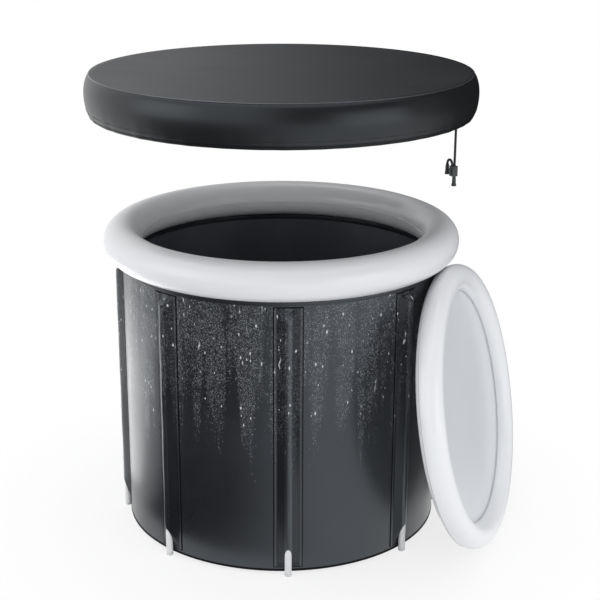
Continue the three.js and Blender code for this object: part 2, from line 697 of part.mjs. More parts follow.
function skirtPath() {
  const rim = new THREE.Vector2(HEM_CENTRE_RADIUS + HEM_RADIUS, HEM_CENTRE);
  const side = new THREE.SplineCurve([
    new THREE.Vector2(COVER_EDGE, SKIRT_TOP),
    new THREE.Vector2(COVER_EDGE + SKIRT_BULGE, COVER_TOP - SKIRT_BULGE_DROP),
    rim,
  ]).getPoints(SKIRT_STEPS);
  const turn = [];
  for (let step = 1; step <= HEM_STEPS; step += 1) {
    const angle = (-Math.PI * step) / HEM_STEPS;
    turn.push(new THREE.Vector2(
      HEM_CENTRE_RADIUS + HEM_RADIUS * Math.cos(angle), HEM_CENTRE + HEM_RADIUS * Math.sin(angle),
    ));
  }
  const fold = new THREE.Vector2(HEM_CENTRE_RADIUS - HEM_RADIUS, HEM_CENTRE + HEM_FOLD_RISE);
  return [...side, ...turn, fold];
}

function addCoverBody(cover) {
  addPiece(cover, "cover_lining", disc(PAD_RADIUS, 0, COVER_LINING), blackFabric);
  const padBottom = COVER_LINING + FIT_GAP;
  addPiece(cover, "cover_foam", disc(PAD_RADIUS, padBottom, padBottom + COVER_FOAM), foam);
  addPiece(cover, "cover_top", disc(COVER_EDGE, COVER_TOP - COVER_FABRIC, COVER_TOP), blackFabric);

  const strip = solidOf(lathe(stripOutline(skirtPath(), COVER_FABRIC)));
  const eyelet = polar(HEM_CENTRE_RADIUS, TAIL_ANGLE);
  const hole = barAlongZ(EYELET_NECK + FIT_GAP, HEM_BOTTOM - HEM_RADIUS, LOOP_TOP, eyelet.x, eyelet.y);
  addPiece(cover, "cover_skirt", strip.subtract(hole), blackFabric);

  const loop = solidOf(lathe(roundOutline(HEM_CENTRE_RADIUS, LOOP_HEIGHT, CORD_RADIUS, LOOP_SIDES)));
  addPiece(cover, "drawstring_loop", loop.subtract(hole), cordWeave);
}

function polar(radius, degrees, height = 0) {
  const turn = THREE.MathUtils.degToRad(degrees);
  return new THREE.Vector3(radius * Math.sin(turn), -radius * Math.cos(turn), height);
}

// Hanging end of the drawstring, in a frame on the eyelet's axis
function addEyelet(tail) {
  const profile = [
    [EYELET_BORE, EYELET_BOTTOM],
    [EYELET_NECK + EYELET_FLANGE, EYELET_BOTTOM],
    [EYELET_NECK + EYELET_FLANGE, EYELET_BOTTOM + EYELET_THICKNESS],
    [EYELET_NECK, EYELET_BOTTOM + EYELET_THICKNESS],
    [EYELET_NECK, HEM_BOTTOM + EYELET_NECK_LENGTH],
    [EYELET_BORE, HEM_BOTTOM + EYELET_NECK_LENGTH],
  ];
  addPiece(tail, "cord_eyelet", solidOf(lathe(profile, SMALL_STEPS)), eyeletMetal);
}

function bellSolid() {
  const bottom = BELL_GRIP - BELL_LENGTH;
  const bore = CORD_RADIUS + FIT_GAP;
  return solidOf(lathe([
    [0, bottom],
    [BELL_END_RADIUS, bottom],
    [BELL_TOP_RADIUS, BELL_GRIP],
    [bore, BELL_GRIP],
    [bore, -FIT_GAP],
    [0, -FIT_GAP],
  ], BELL_WALL_STEPS));
}

function lockOutline() {
  const outline = new THREE.Shape();
  const right = LOCK_WIDTH / 2;
  outline.moveTo(-right + LOCK_CORNER, -LOCK_FRONT);
  outline.absarc(right - LOCK_CORNER, -LOCK_FRONT + LOCK_CORNER, LOCK_CORNER, -Math.PI / 2, 0, false);
  outline.absarc(right - LOCK_CORNER, LOCK_BACK - LOCK_CORNER, LOCK_CORNER, 0, Math.PI / 2, false);
  outline.absarc(-right + LOCK_CORNER, LOCK_BACK - LOCK_CORNER, LOCK_CORNER, Math.PI / 2, Math.PI, false);
  outline.absarc(-right + LOCK_CORNER, -LOCK_FRONT + LOCK_CORNER, LOCK_CORNER, Math.PI, 1.5 * Math.PI, false);
  const cordHole = new THREE.Path();
  cordHole.absarc(0, 0, CORD_RADIUS + LOCK_CORD_CLEARANCE, 0, 2 * Math.PI, true);
  outline.holes.push(cordHole);
  return outline;
}

function addLock(lock) {
  const middle = (LOCK_BOTTOM + LOCK_TOP) / 2;
  const body = solidOf(extrudeUp(lockOutline(), LOCK_BOTTOM, LOCK_TOP, 4));
  const pocketWidth = BUTTON_WIDTH + 2 * FIT_GAP;
  const pocketHeight = BUTTON_HEIGHT + 2 * FIT_GAP;
  const pocket = box(pocketWidth, 2 * BUTTON_POCKET, pocketHeight, 0, -LOCK_FRONT, middle);
  addPiece(lock, "cord_lock_body", body.subtract(pocket), lockPlastic);

  const buttonBack = -LOCK_FRONT + BUTTON_POCKET - BUTTON_TRAVEL - FIT_GAP;
  const buttonFront = -LOCK_FRONT - BUTTON_PROUD;
  const button = box(
    BUTTON_WIDTH, buttonBack - buttonFront, BUTTON_HEIGHT, 0, (buttonBack + buttonFront) / 2, middle,
  );
  addPiece(lock, "cord_lock_button", button, lockPlastic);
}

// The other end of the drawstring comes out of the lock's top, bends over to the side and hangs.
function shortEndPath() {
  const start = LOCK_TOP + FIT_GAP;
  const bendHeight = start + SHORT_END_RISE;
  const far = -2 * SHORT_END_BEND;
  const path = new THREE.CurvePath();
  path.add(new THREE.LineCurve3(new THREE.Vector3(0, 0, start), new THREE.Vector3(0, 0, bendHeight)));
  path.add(new THREE.CubicBezierCurve3(
    new THREE.Vector3(0, 0, bendHeight),
    new THREE.Vector3(0, 0, bendHeight + (4 / 3) * SHORT_END_BEND),
    new THREE.Vector3(far, 0, bendHeight + (4 / 3) * SHORT_END_BEND),
    new THREE.Vector3(far, 0, bendHeight),
  ));
  path.add(new THREE.LineCurve3(
    new THREE.Vector3(far, 0, bendHeight), new THREE.Vector3(far, 0, bendHeight - SHORT_END_DROP),
  ));
  return path;
}

function addShortEnd(lock) {
  const end = new THREE.Group();
  end.position.y = -SHORT_END_REACH;
  lock.add(end);
  const section = new THREE.Shape();
  section.absarc(0, 0, CORD_RADIUS, 0, 2 * Math.PI, false);
  const cord = new THREE.ExtrudeGeometry(section, {
    steps: SHORT_END_STEPS,
    curveSegments: CORD_STEPS / 2,
    bevelEnabled: false,
    extrudePath: shortEndPath(),
  });
  addPiece(end, "drawstring_short_end", solidOf(cord), cordWeave);
  const bell = addPiece(end, "short_end_bell", bellSolid(), lockPlastic);
  bell.position.set(-2 * SHORT_END_BEND, 0, LOCK_TOP + FIT_GAP + SHORT_END_RISE - SHORT_END_DROP);
}

function addTail(cover) {
  const tail = new THREE.Group();
  tail.position.copy(polar(HEM_CENTRE_RADIUS, TAIL_ANGLE));
  cover.add(tail);
  addEyelet(tail);
  addPiece(tail, "drawstring_tail", barAlongZ(CORD_RADIUS, TAIL_END, TAIL_TOP, 0, 0, CORD_STEPS), cordWeave);
  addPiece(tail, "tail_bell", bellSolid(), lockPlastic).position.z = TAIL_END;
  const lock = new THREE.Group();
  lock.rotation.z = THREE.MathUtils.degToRad(LOCK_TURN);
  tail.add(lock);
  addLock(lock);
  addShortEnd(lock);
}

function addCover(root) {
  const cover = new THREE.Group();
  cover.position.z = TUB_HEIGHT + FIT_GAP + COVER_LIFT;
  root.add(cover);
  addCoverBody(cover);
  addTail(cover);
}

// Lid: its group turns about the middle of its lowest tube, +X faces away from the tub, +Z runs up the lid
function lidFootReach(lean) {
  const topHeight = LID_TUBE_RADIUS + 2 * LID_RING_RADIUS * Math.cos(lean);
  const below = RING_CENTRE - topHeight;
  const apart = LID_TUBE_RADIUS + RING_TUBE_RADIUS / Math.cos(Math.PI / RING_TUBE_SIDES) + FIT_GAP;
  const wallStop = WALL_RADIUS + FIT_GAP + LID_TUBE_RADIUS;
  const ringStop = Math.abs(below) < apart ? RING_RADIUS + Math.sqrt(apart ** 2 - below ** 2) : 0;
  return Math.max(wallStop, ringStop) + 2 * LID_RING_RADIUS * Math.sin(lean);
}

function addLid(root) {
  const lean = THREE.MathUtils.degToRad(LID_LEAN);
  const lid = new THREE.Group();
  lid.position.set(lidFootReach(lean), 0, LID_TUBE_RADIUS);
  lid.rotation.y = -lean;
  root.add(lid);

  const face = new THREE.Group();
  face.position.z = LID_RING_RADIUS;
  face.rotation.y = Math.PI / 2;
  lid.add(face);

  const valve = new THREE.Group();
  const facet = Math.PI / LID_STEPS;
  const valveTurn = 2 * facet * LID_VALVE_STEP;
  const valveRadius = LID_RING_RADIUS * Math.cos(facet);
  valve.position.set(valveRadius * Math.cos(valveTurn), valveRadius * Math.sin(valveTurn), -LID_FLAT_RADIUS);
  valve.rotation.set(Math.PI, 0, valveTurn + Math.PI / 2, "ZYX");
  face.add(valve);
  valve.updateMatrix();

  const ring = inflatedRing(
    LID_RING_RADIUS, 0, LID_FLAT_RADIUS, LID_SKIN, LID_TUBE_SIDES, LID_BORE_SIDES, LID_STEPS,
  );
  const hole = solidOf(geometryOf(valveHole()).applyMatrix4(valve.matrix));
  addPiece(face, "lid_ring", ring.subtract(hole), lidVinyl);
  addValve(valve, "lid");

  const tuck = THREE.MathUtils.degToRad(LID_MEMBRANE_ANGLE);
  const depth = -LID_TUBE_RADIUS * Math.sin(tuck);
  const sheet = solidOf(lathe([
    [0, depth],
    [LID_RING_RADIUS, depth],
    [LID_RING_RADIUS, depth + LID_MEMBRANE_THICKNESS],
    [0, depth + LID_MEMBRANE_THICKNESS],
  ], LID_STEPS));
  const seatOutline = roundOutline(LID_RING_RADIUS, 0, LID_FLAT_RADIUS + FIT_GAP, LID_TUBE_SIDES);
  const seat = solidOf(lathe(seatOutline, LID_STEPS));
  const pieces = sheet.subtract(seat).decompose();
  const membrane = pieces.reduce((largest, piece) => (piece.volume() > largest.volume() ? piece : largest));
  addPiece(face, "lid_membrane", membrane, membraneVinyl);
}

const coldPlungeTub = new THREE.Group();
addShell(coldPlungeTub);
addFoam(coldPlungeTub);
addLiner(coldPlungeTub);
addBinding(coldPlungeTub);
addRing(coldPlungeTub);
addPoles(coldPlungeTub);
addDrain(coldPlungeTub);
addCover(coldPlungeTub);
addLid(coldPlungeTub);

export default coldPlungeTub;
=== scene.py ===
"""Cold plunge tub with its soft wall on poles, its inflated ring, its lifted cover and its leaning lid.

Metres, +Z up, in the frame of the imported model. Angles round the tub run from -Y towards +X.
"""

import math
import random

import bmesh
import bpy
from mathutils import Matrix, Vector


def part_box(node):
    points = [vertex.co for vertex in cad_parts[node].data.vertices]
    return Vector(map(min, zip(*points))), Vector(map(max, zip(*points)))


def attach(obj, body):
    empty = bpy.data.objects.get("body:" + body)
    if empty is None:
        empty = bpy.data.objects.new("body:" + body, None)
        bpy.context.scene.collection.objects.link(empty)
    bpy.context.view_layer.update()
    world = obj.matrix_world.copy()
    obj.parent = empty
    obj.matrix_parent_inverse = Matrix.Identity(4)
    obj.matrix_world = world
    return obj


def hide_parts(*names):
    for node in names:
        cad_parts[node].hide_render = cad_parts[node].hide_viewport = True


bl_info = {
    "name": "Cold Plunge Tub",
    "version": (1, 0, 0),
    "blender": (4, 5, 0),
    "location": "View3D > Sidebar > Plunge Tub",
    "description": "Builds a portable cold plunge tub with its cover and its lid",
    "category": "Object",
}

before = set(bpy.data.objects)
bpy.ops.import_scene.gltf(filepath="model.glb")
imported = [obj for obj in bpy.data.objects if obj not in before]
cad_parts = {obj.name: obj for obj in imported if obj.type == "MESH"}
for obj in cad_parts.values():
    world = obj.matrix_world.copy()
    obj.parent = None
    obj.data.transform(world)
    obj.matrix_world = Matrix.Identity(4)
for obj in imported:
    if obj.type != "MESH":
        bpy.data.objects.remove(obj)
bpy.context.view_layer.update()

FIT_GAP = 0.0003
STITCH_THICKNESS = 0.0004

# Steps round a full turn
ROUND_STEPS = 256
SKIRT_STEPS = 384
LID_STEPS = 224
PADDING_STEPS = 128
SMALL_STEPS = 48
POLE_STEPS = 32

# Points down the skirt's section, before the roll of the hem
SKIRT_POINTS = 22

# Radius at which the cover's round cloth is unrolled for its weave
COVER_ROUND = 0.44
COOL_SHEEN = (0.86, 0.94, 1.0)
NUMBER = "NodeSocketFloat"
VECTOR = "NodeSocketVector"


# Properties


def length(name, description, default):
    return bpy.props.FloatProperty(
        name=name, description=description, default=default, min=0.0, unit="LENGTH", subtype="DISTANCE"
    )


def angle_of(name, description, degrees):
    return bpy.props.FloatProperty(
        name=name, description=description, default=math.radians(degrees), subtype="ANGLE"
    )


def colour(name, description, default):
    return bpy.props.FloatVectorProperty(
        name=name, description=description, default=default, size=3, min=0.0, max=1.0, subtype="COLOR"
    )


class TubSizes(bpy.types.PropertyGroup):
    """Sizes of the tub, its ring and its poles"""

    wall_radius: length("Wall radius", "Outer radius of the wall", 0.375)
    wall_top: length("Wall top", "Height of the wall's top edge", 0.6494)
    shell: length("Skin", "Thickness of the outer skin", 0.0015)
    wall_padding: length("Wall padding", "Thickness of the wall's foam", 0.008)
    floor_padding: length("Floor padding", "Thickness of the floor's foam", 0.008)
    liner: length("Liner", "Thickness of the inner liner", 0.0015)
    base_rise: length("Base rise", "How far the underside rises at its edge", 0.005)
    base_slope: length("Base slope", "Width of the rising part of the underside", 0.036)
    edge_round: length("Edge round", "Rounding between underside and wall", 0.004)
    liner_corner: length("Liner corner", "Rounding between the liner's floor and side", 0.012)
    tape_depth: length("Tape depth", "How far the edge tape reaches down", 0.011)
    tape: length("Tape", "Thickness of the edge tape", 0.001)
    ring_radius: length("Ring radius", "Radius of the ring's middle line", 0.374)
    ring_tube: length("Ring tube", "Radius of the ring's tube", 0.043)
    ring_height: length("Ring height", "Height of the ring's middle line", 0.694)
    pole_count: bpy.props.IntProperty(name="Poles", description="Number of poles", default=8, min=3, max=16)
    first_pole: angle_of("First pole", "Angle of the first pole", 22.5)
    pole_radius: length("Pole radius", "Radius of a pole", 0.008)
    pole_top: length("Pole top", "Height of a pole's upper end", 0.613)
    foot_height: length("Foot height", "Height of the foot under a pole", 0.007)
    sleeve_base: length("Sleeve width", "Width of a sleeve where it leaves the wall", 0.052)
    sleeve_border: length("Sleeve border", "Width of the welded border of a sleeve", 0.0048)
    # A sleeve's shadow line is a near-black strip of painted shadow round its welded border.
    sleeve_groove: length("Sleeve groove", "Width of the pressed line round a sleeve", 0.0028)
    sleeve_bottom: length("Sleeve bottom", "Height of a sleeve's lower edge", 0.02)
    sleeve_top: length("Sleeve top", "Height of a sleeve's upper edge", 0.6357)
    sleeve_fabric: length("Sleeve fabric", "Thickness of a sleeve", 0.0012)
    lower_hip: length("Lower hip", "Height of the slope at a sleeve's lower end", 0.047)
    upper_hip: length("Upper hip", "Height of the slope at a sleeve's upper end", 0.016)
    drain_height: length("Drain height", "Height of the drain's axis", 0.052)


class CoverSizes(bpy.types.PropertyGroup):
    """Sizes of the cover, its drawstring and the lid"""

    seat: length("Cover seat", "Height of the cover's lining", 1.0723)
    top: length("Cover top", "Height of the cover's top", 1.0834)
    edge: length("Cover edge", "Radius of the seam round the top", 0.4354)
    bulge: length("Bulge", "How far the skirt stands out beyond the seam", 0.013)
    bulge_drop: length("Bulge drop", "How far below the top the skirt is widest", 0.04)
    skirt_depth: length("Skirt depth", "Height of the skirt with its hem", 0.095)
    fabric: length("Cover fabric", "Thickness of the cover's fabric", 0.0015)
    hem_radius: length("Hem radius", "Radius of the rolled hem", 0.006)
    hem_centre: length("Hem centre", "Distance of the hem from the tub's axis", 0.4335)
    cord: length("Cord", "Diameter of the drawstring", 0.006)
    tail: length("Hanging end", "Length of the hanging end of the drawstring", 0.186)
    tail_angle: angle_of("Cord angle", "Angle of the eyelet round the tub", 126.0)
    lock_turn: angle_of("Lock turn", "Turn of the cord lock about its cord", -48.0)
    short_end_bend: length("Short end bend", "Radius of the bend in the short end", 0.012)
    short_end_reach: length("Short end reach", "Distance of the short end from the hanging end", 0.0064)
    short_end_rise: length("Short end rise", "Straight run above the lock", 0.001)
    short_end_drop: length("Short end drop", "Straight run down to the bell", 0.0085)
    sheet_depth: length("Sheet depth", "How far the lid's sheet lies behind the middle of its tube", 0.004)
    lid_radius: length("Lid radius", "Radius of the lid ring's middle line", 0.302)
    lid_tube: length("Lid tube", "Radius of the lid ring's tube", 0.03)
    lid_foot: length("Lid foot", "Distance of the lid's lowest tube from the tub's axis", 0.525718)
    lid_lean: angle_of("Lid lean", "Lean of the lid from upright", 11.5)


class TubColours(bpy.types.PropertyGroup):
    """Colours of the tub, the cover and the lid"""

    wall: colour("Wall", "Coated fabric of the wall", (0.015, 0.016, 0.020))
    cover: colour("Cover", "Coated fabric of the cover", (0.0145, 0.015, 0.017))
    ring: colour("Ring", "Vinyl of the inflated ring", (0.725, 0.727, 0.745))
    lid: colour("Lid", "Vinyl of the lid's tube", (0.79, 0.80, 0.82))
    sheet: colour("Lid sheet", "Vinyl of the lid's sheet", (0.67, 0.685, 0.71))
    liner: colour("Liner", "Vinyl of the inner liner", (0.070, 0.078, 0.090))
    foam: colour("Foam", "Foam of the padding", (0.67, 0.65, 0.60))
    pole: colour("Pole", "Plastic of the poles", (0.78, 0.78, 0.79))
    foot: colour("Foot", "Plastic of the feet", (0.70, 0.71, 0.72))
    valve: colour("Valve", "Plastic of the air valves", (0.72, 0.74, 0.76))
    drain: colour("Drain", "Plastic of the drain", (0.022, 0.024, 0.027))
    rubber: colour("Rubber", "Rubber of the seals", (0.013, 0.013, 0.014))
    cord: colour("Cord", "Braid of the drawstring", (0.030, 0.033, 0.036))
    lock: colour("Lock", "Plastic of the cord lock", (0.040, 0.048, 0.050))
    eyelet: colour("Eyelet", "Metal of the eyelet", (0.27, 0.28, 0.30))


# Shader helpers


def add_node(tree, kind, **settings):
    node = tree.nodes.new(kind)
    for name, value in settings.items():
        setattr(node, name, value)
    return node


def feed(tree, socket, value):
    """Links a socket to another, or sets its value."""
    if isinstance(value, bpy.types.NodeSocket):
        tree.links.new(value, socket)
    else:
        socket.default_value = value


def object_point(tree):
    return add_node(tree, "ShaderNodeTexCoord").outputs["Object"]


def split(tree, value, kind="ShaderNodeSeparateXYZ"):
    """The three parts of a vector or a colour."""
    node = add_node(tree, kind)
    feed(tree, node.inputs[0], value)
    return node.outputs


def joined(tree, *parts):
    node = add_node(tree, "ShaderNodeCombineXYZ")
    for place, part in enumerate(parts):
        feed(tree, node.inputs[place], part)
    return node.outputs[0]


def maths(tree, operation, *values):
    node = add_node(tree, "ShaderNodeMath", operation=operation)
    for place, value in enumerate(values):
        feed(tree, node.inputs[place], value)
    return node.outputs[0]


def ramp(tree, value, from_low, from_high, to_low=0.0, to_high=1.0):
    node = add_node(tree, "ShaderNodeMapRange", interpolation_type="SMOOTHSTEP")
    for place, entry in enumerate((value, from_low, from_high, to_low, to_high)):
        feed(tree, node.inputs[place], entry)
    return node.outputs[0]


def stretched(tree, vector, scale):
    node = add_node(tree, "ShaderNodeVectorMath", operation="MULTIPLY")
    feed(tree, node.inputs[0], vector)
    feed(tree, node.inputs[1], scale)
    return node.outputs[0]


def noise(tree, vector, scale, detail=3.0, roughness=0.55):
    node = add_node(tree, "ShaderNodeTexNoise")
    feed(tree, node.inputs["Vector"], vector)
    feed(tree, node.inputs["Scale"], scale)
    feed(tree, node.inputs["Detail"], detail)
    feed(tree, node.inputs["Roughness"], roughness)
    return node.outputs[0]


def cells(tree, vector, scale):
    node = add_node(tree, "ShaderNodeTexVoronoi", feature="F1")
    feed(tree, node.inputs["Vector"], vector)
    feed(tree, node.inputs["Scale"], scale)
    return node.outputs["Distance"], node.outputs["Color"]


def blended(tree, factor, first, second):
    node = add_node(tree, "ShaderNodeMix", data_type="RGBA")
    feed(tree, node.inputs[0], factor)
    feed(tree, node.inputs[6], first)
    feed(tree, node.inputs[7], second)
    return node.outputs[2]


def mix_shaders(tree, share, first, second, end="Material Output"):
    """Shows the second shader by the share and the first for the rest."""
    mixed = add_node(tree, "ShaderNodeMixShader")
    for place, value in enumerate((share, first.outputs[0], second.outputs[0])):
        feed(tree, mixed.inputs[place], value)
    feed(tree, tree.nodes[end].inputs["Surface"], mixed.outputs[0])


def plain_material(name):
    """A new material with nothing but its output."""
    material = bpy.data.materials.new(name)
    material.use_nodes = True
    nodes = material.node_tree.nodes
    nodes.remove(nodes["Principled BSDF"])
    return material


def new_group(name, inputs, outputs):
    tree = bpy.data.node_groups.new(name, "ShaderNodeTree")
    for label, kind, default in inputs:
        socket = tree.interface.new_socket(label, in_out="INPUT", socket_type=kind)
        if default is not None:
            socket.default_value = default
    for label, kind in outputs:
        tree.interface.new_socket(label, in_out="OUTPUT", socket_type=kind)
    return tree, add_node(tree, "NodeGroupInput").outputs, add_node(tree, "NodeGroupOutput").inputs


def shared(name, build):
    """The node group of that name, built the first time it is asked for."""
    return bpy.data.node_groups.get(name) or build(name)


def placed(tree, group, **values):
    node = add_node(tree, "ShaderNodeGroup", node_tree=group)
    for label, value in values.items():
        feed(tree, node.inputs[label.replace("_", " ")], value)
    return node.outputs


def unrolled_wall(name):
    """A point of a round wall as its distance round the wall and its height."""
    tree, given, result = new_group(name, [("Radius", NUMBER, 0.375)], [("Vector", VECTOR)])
    x, y, height = split(tree, object_point(tree))
    turn = maths(tree, "ARCTAN2", y, x)
    feed(tree, result["Vector"], joined(tree, maths(tree, "MULTIPLY", turn, given["Radius"]), height))
    return tree


def plain_weave(name):
    """Over and under of a plain weave, with a little unevenness of the threads."""
    tree, given, result = new_group(
        name, [("Vector", VECTOR, None), ("Threads", NUMBER, 900.0)], [("Height", NUMBER)]
    )
    x, y, _ = split(tree, given["Vector"])
    pitch = maths(tree, "MULTIPLY", given["Threads"], math.pi)
    across = maths(tree, "SINE", maths(tree, "MULTIPLY", x, pitch))
    along = maths(tree, "SINE", maths(tree, "MULTIPLY", y, pitch))
    woven = maths(tree, "MULTIPLY", across, along)
    uneven = noise(tree, given["Vector"], maths(tree, "MULTIPLY", given["Threads"], 0.35), 2.0)
    feed(tree, result["Height"], maths(tree, "MULTIPLY_ADD", woven, 0.35, uneven))
    return tree


def soft_variation(name):
    """Slow cloudiness and fine speckle that vary tone and gloss."""
    tree, given, result = new_group(
        name,
        [("Scale", NUMBER, 6.0), ("Low", NUMBER, 0.3), ("High", NUMBER, 0.4)],
        [("Roughness", NUMBER), ("Tone", NUMBER), ("Speckle", NUMBER)],
    )
    place = object_point(tree)
    cloud = noise(tree, place, given["Scale"], 4.0, 0.6)
    speckle = noise(tree, place, maths(tree, "MULTIPLY", given["Scale"], 90.0), 2.0)
    feed(tree, result["Roughness"], ramp(tree, cloud, 0.3, 0.7, given["Low"], given["High"]))
    feed(tree, result["Tone"], ramp(tree, cloud, 0.25, 0.75))
    feed(tree, result["Speckle"], speckle)
    return tree


def condensation(name):
    """Beads, larger drops and runs of water on a cold wall, thick at its top and thinning out in fingers."""
    tree, given, result = new_group(
        name,
        [("Vector", VECTOR, None), ("Top", NUMBER, 0.56), ("Bottom", NUMBER, 0.31)],
        [("Height", NUMBER), ("Beads", NUMBER), ("Drops", NUMBER)],
    )
    around, height, _ = split(tree, given["Vector"])
    columns = noise(tree, stretched(tree, given["Vector"], (1.0, 0.05, 1.0)), 34.0, 2.0, 0.5)
    front = maths(tree, "MULTIPLY_ADD", maths(tree, "SUBTRACT", columns, 0.5), 0.7, height)
    wet = ramp(tree, front, given["Bottom"], given["Top"])
    bands = ramp(tree, columns, 0.38, 0.56, 0.25, 1.0)
    patches = ramp(tree, noise(tree, given["Vector"], 16.0, 3.0), 0.36, 0.56, 0.35, 1.0)
    wet = maths(tree, "MULTIPLY", wet, maths(tree, "MULTIPLY", bands, patches))

    def beaded(scale, reach, share, stretch):
        """Beads in cells: cells to the metre, a bead's reach in its cell, the share of cells with one, and
        how far the cells are stretched."""
        distance, tint = cells(tree, stretched(tree, given["Vector"], (1.0, stretch, 1.0)), scale)
        chance, fullness, _ = split(tree, tint, "ShaderNodeSeparateColor")
        shown = maths(tree, "LESS_THAN", chance, maths(tree, "MULTIPLY", wet, share))
        size = maths(tree, "MULTIPLY_ADD", fullness, 0.6 * reach, 0.4 * reach)
        return maths(tree, "MULTIPLY", ramp(tree, distance, size, 0.0), shown)

    fine = maths(tree, "MAXIMUM", beaded(380.0, 0.72, 1.9, 0.8), beaded(210.0, 0.55, 0.75, 0.8))
    mist = maths(tree, "MULTIPLY", beaded(560.0, 0.8, 2.6, 0.9), 0.42)
    fine = maths(tree, "MAXIMUM", fine, mist)
    large = maths(tree, "MAXIMUM", beaded(84.0, 0.24, 0.6, 0.5), beaded(120.0, 0.3, 0.4, 0.36))
    sway = noise(tree, stretched(tree, given["Vector"], (0.3, 1.0, 1.0)), 38.0, 2.0)
    wavy = joined(tree, maths(tree, "MULTIPLY_ADD", sway, 0.016, around), height)
    distance, tint = cells(tree, stretched(tree, wavy, (1.0, 0.11, 1.0)), 64.0)
    chance, _, _ = split(tree, tint, "ShaderNodeSeparateColor")
    picked = maths(tree, "LESS_THAN", chance, maths(tree, "MULTIPLY", wet, 0.9))
    breaks = noise(tree, stretched(tree, given["Vector"], (1.0, 0.3, 1.0)), 200.0, 2.0)
    trails = maths(tree, "MULTIPLY", ramp(tree, distance, 0.17, 0.06, 0.0, 0.75), picked)
    runs = maths(tree, "MULTIPLY", trails, ramp(tree, breaks, 0.40, 0.50))
    drops = maths(tree, "MAXIMUM", large, runs)
    feed(tree, result["Height"], maths(tree, "MAXIMUM", fine, drops))
    feed(tree, result["Beads"], fine)
    feed(tree, result["Drops"], drops)
    return tree


class Finish:
    """A material with its Principled shader, and the steps that give it detail."""

    def __init__(self, name, base, roughness, metallic=0.0, specular=0.5, coat=0.0, tint=(1.0, 1.0, 1.0)):
        self.material = bpy.data.materials.new(name)
        self.material.use_nodes = True
        self.tree = self.material.node_tree
        self.shader = self.tree.nodes["Principled BSDF"]
        self.base = (*base, 1.0)
        self.shader.inputs["Base Color"].default_value = self.base
        self.shader.inputs["Roughness"].default_value = roughness
        self.shader.inputs["Metallic"].default_value = metallic
        self.shader.inputs["Specular IOR Level"].default_value = specular
        self.shader.inputs["Specular Tint"].default_value = (*tint, 1.0)
        self.shader.inputs["Coat Weight"].default_value = coat
        self.shader.inputs["Coat Roughness"].default_value = 0.12
        self.material.diffuse_color = self.base

    def place(self):
        return object_point(self.tree)

    def unroll(self, radius):
        return placed(self.tree, shared("Unrolled wall", unrolled_wall), Radius=radius)["Vector"]

    def weave(self, vector, threads):
        group = shared("Plain weave", plain_weave)
        return placed(self.tree, group, Vector=vector, Threads=threads)["Height"]

    def vary(self, scale, low, high, share=0.16):
        """Roughness between low and high, and colour up to a share darker or lighter."""
        cloud = placed(self.tree, shared("Soft variation", soft_variation), Scale=scale, Low=low, High=high)
        feed(self.tree, self.shader.inputs["Roughness"], cloud["Roughness"])
        dark = (*(part * (1.0 - share) for part in self.base[:3]), 1.0)
        light = (*(min(part * (1.0 + share), 1.0) for part in self.base[:3]), 1.0)
        tone = blended(self.tree, cloud["Tone"], dark, light)
        feed(self.tree, self.shader.inputs["Base Color"], tone)
        return tone, cloud

    def bump(self, *layers):
        """Layers of height, its depth in metres and its strength, each laid over the one before."""
        normal = None
        for height, depth, strength in layers:
            node = add_node(self.tree, "ShaderNodeBump")
            feed(self.tree, node.inputs["Height"], height)
            node.inputs["Distance"].default_value = depth
            node.inputs["Strength"].default_value = strength
            if normal is not None:
                feed(self.tree, node.inputs["Normal"], normal)
            normal = node.outputs[0]
        feed(self.tree, self.shader.inputs["Normal"], normal)


# Finishes


def wall_vinyl(name, base, radius, bead=0.2, shine=0.8, wet=True):
    """Black coated fabric, with water on it where it is wet. The water bumps the surface and makes it
    glossier, and its beads and drops are painted lighter as painted highlights.
    """
    look = Finish(name, base, 0.3, specular=shine, tint=COOL_SHEEN)
    wall = look.unroll(radius)
    tone, cloud = look.vary(5.0, 0.27, 0.34)
    woven = look.weave(wall, 620.0)
    if not wet:
        look.bump((woven, 0.00006, 0.25))
        return look.material
    water = placed(look.tree, shared("Condensation", condensation), Vector=wall)
    # Beads are painted a lighter grey, and larger drops and runs near white: painted highlights on the water,
    # over the drops' real bumps and gloss.
    beaded = blended(look.tree, water["Beads"], tone, (bead, bead * 1.03, bead * 1.1, 1.0))
    glinting_drops = blended(look.tree, water["Drops"], beaded, (0.85, 0.86, 0.88, 1.0))
    feed(look.tree, look.shader.inputs["Base Color"], glinting_drops)
    gloss = maths(look.tree, "MULTIPLY_ADD", water["Height"], -0.16, cloud["Roughness"])
    feed(look.tree, look.shader.inputs["Roughness"], gloss)
    look.bump((woven, 0.00006, 0.25), (water["Height"], 0.0006, 0.7))
    return look.material


def shadow_line_vinyl(name, base):
    """Near-black vinyl of the strips of painted shadow round the sleeves' borders and at the wall's foot."""
    look = Finish(name, base, 0.6, specular=0.12)
    _, cloud = look.vary(40.0, 0.5, 0.62, 0.2)
    look.bump((cloud["Speckle"], 0.0001, 0.3))
    return look.material


def cover_cloth(name, base, radius, low, high, shine=0.5):
    """Dark coated cloth with a fine weave, unrolled round the tub when a radius is given."""
    look = Finish(name, base, low, specular=shine, tint=COOL_SHEEN)
    vector = look.unroll(radius) if radius else look.place()
    look.vary(3.5, low, high, 0.12)
    woven = look.weave(vector, 1100.0)
    slack = noise(look.tree, look.place(), 5.0, 1.0)
    look.bump((slack, 0.002, 0.1), (woven, 0.00005, 0.2))
    return look.material


def glossy_vinyl(name, base, low, high):
    """Thin pale vinyl under air pressure."""
    look = Finish(name, base, low, specular=0.5, coat=0.2)
    _, cloud = look.vary(4.0, low, high, 0.008)
    ripple = noise(look.tree, look.place(), 9.0, 1.0)
    look.shader.inputs["Subsurface Weight"].default_value = 0.06
    look.shader.inputs["Subsurface Radius"].default_value = (0.004, 0.004, 0.004)
    look.bump((ripple, 0.0006, 0.08), (cloud["Speckle"], 0.00003, 0.08))
    return look.material


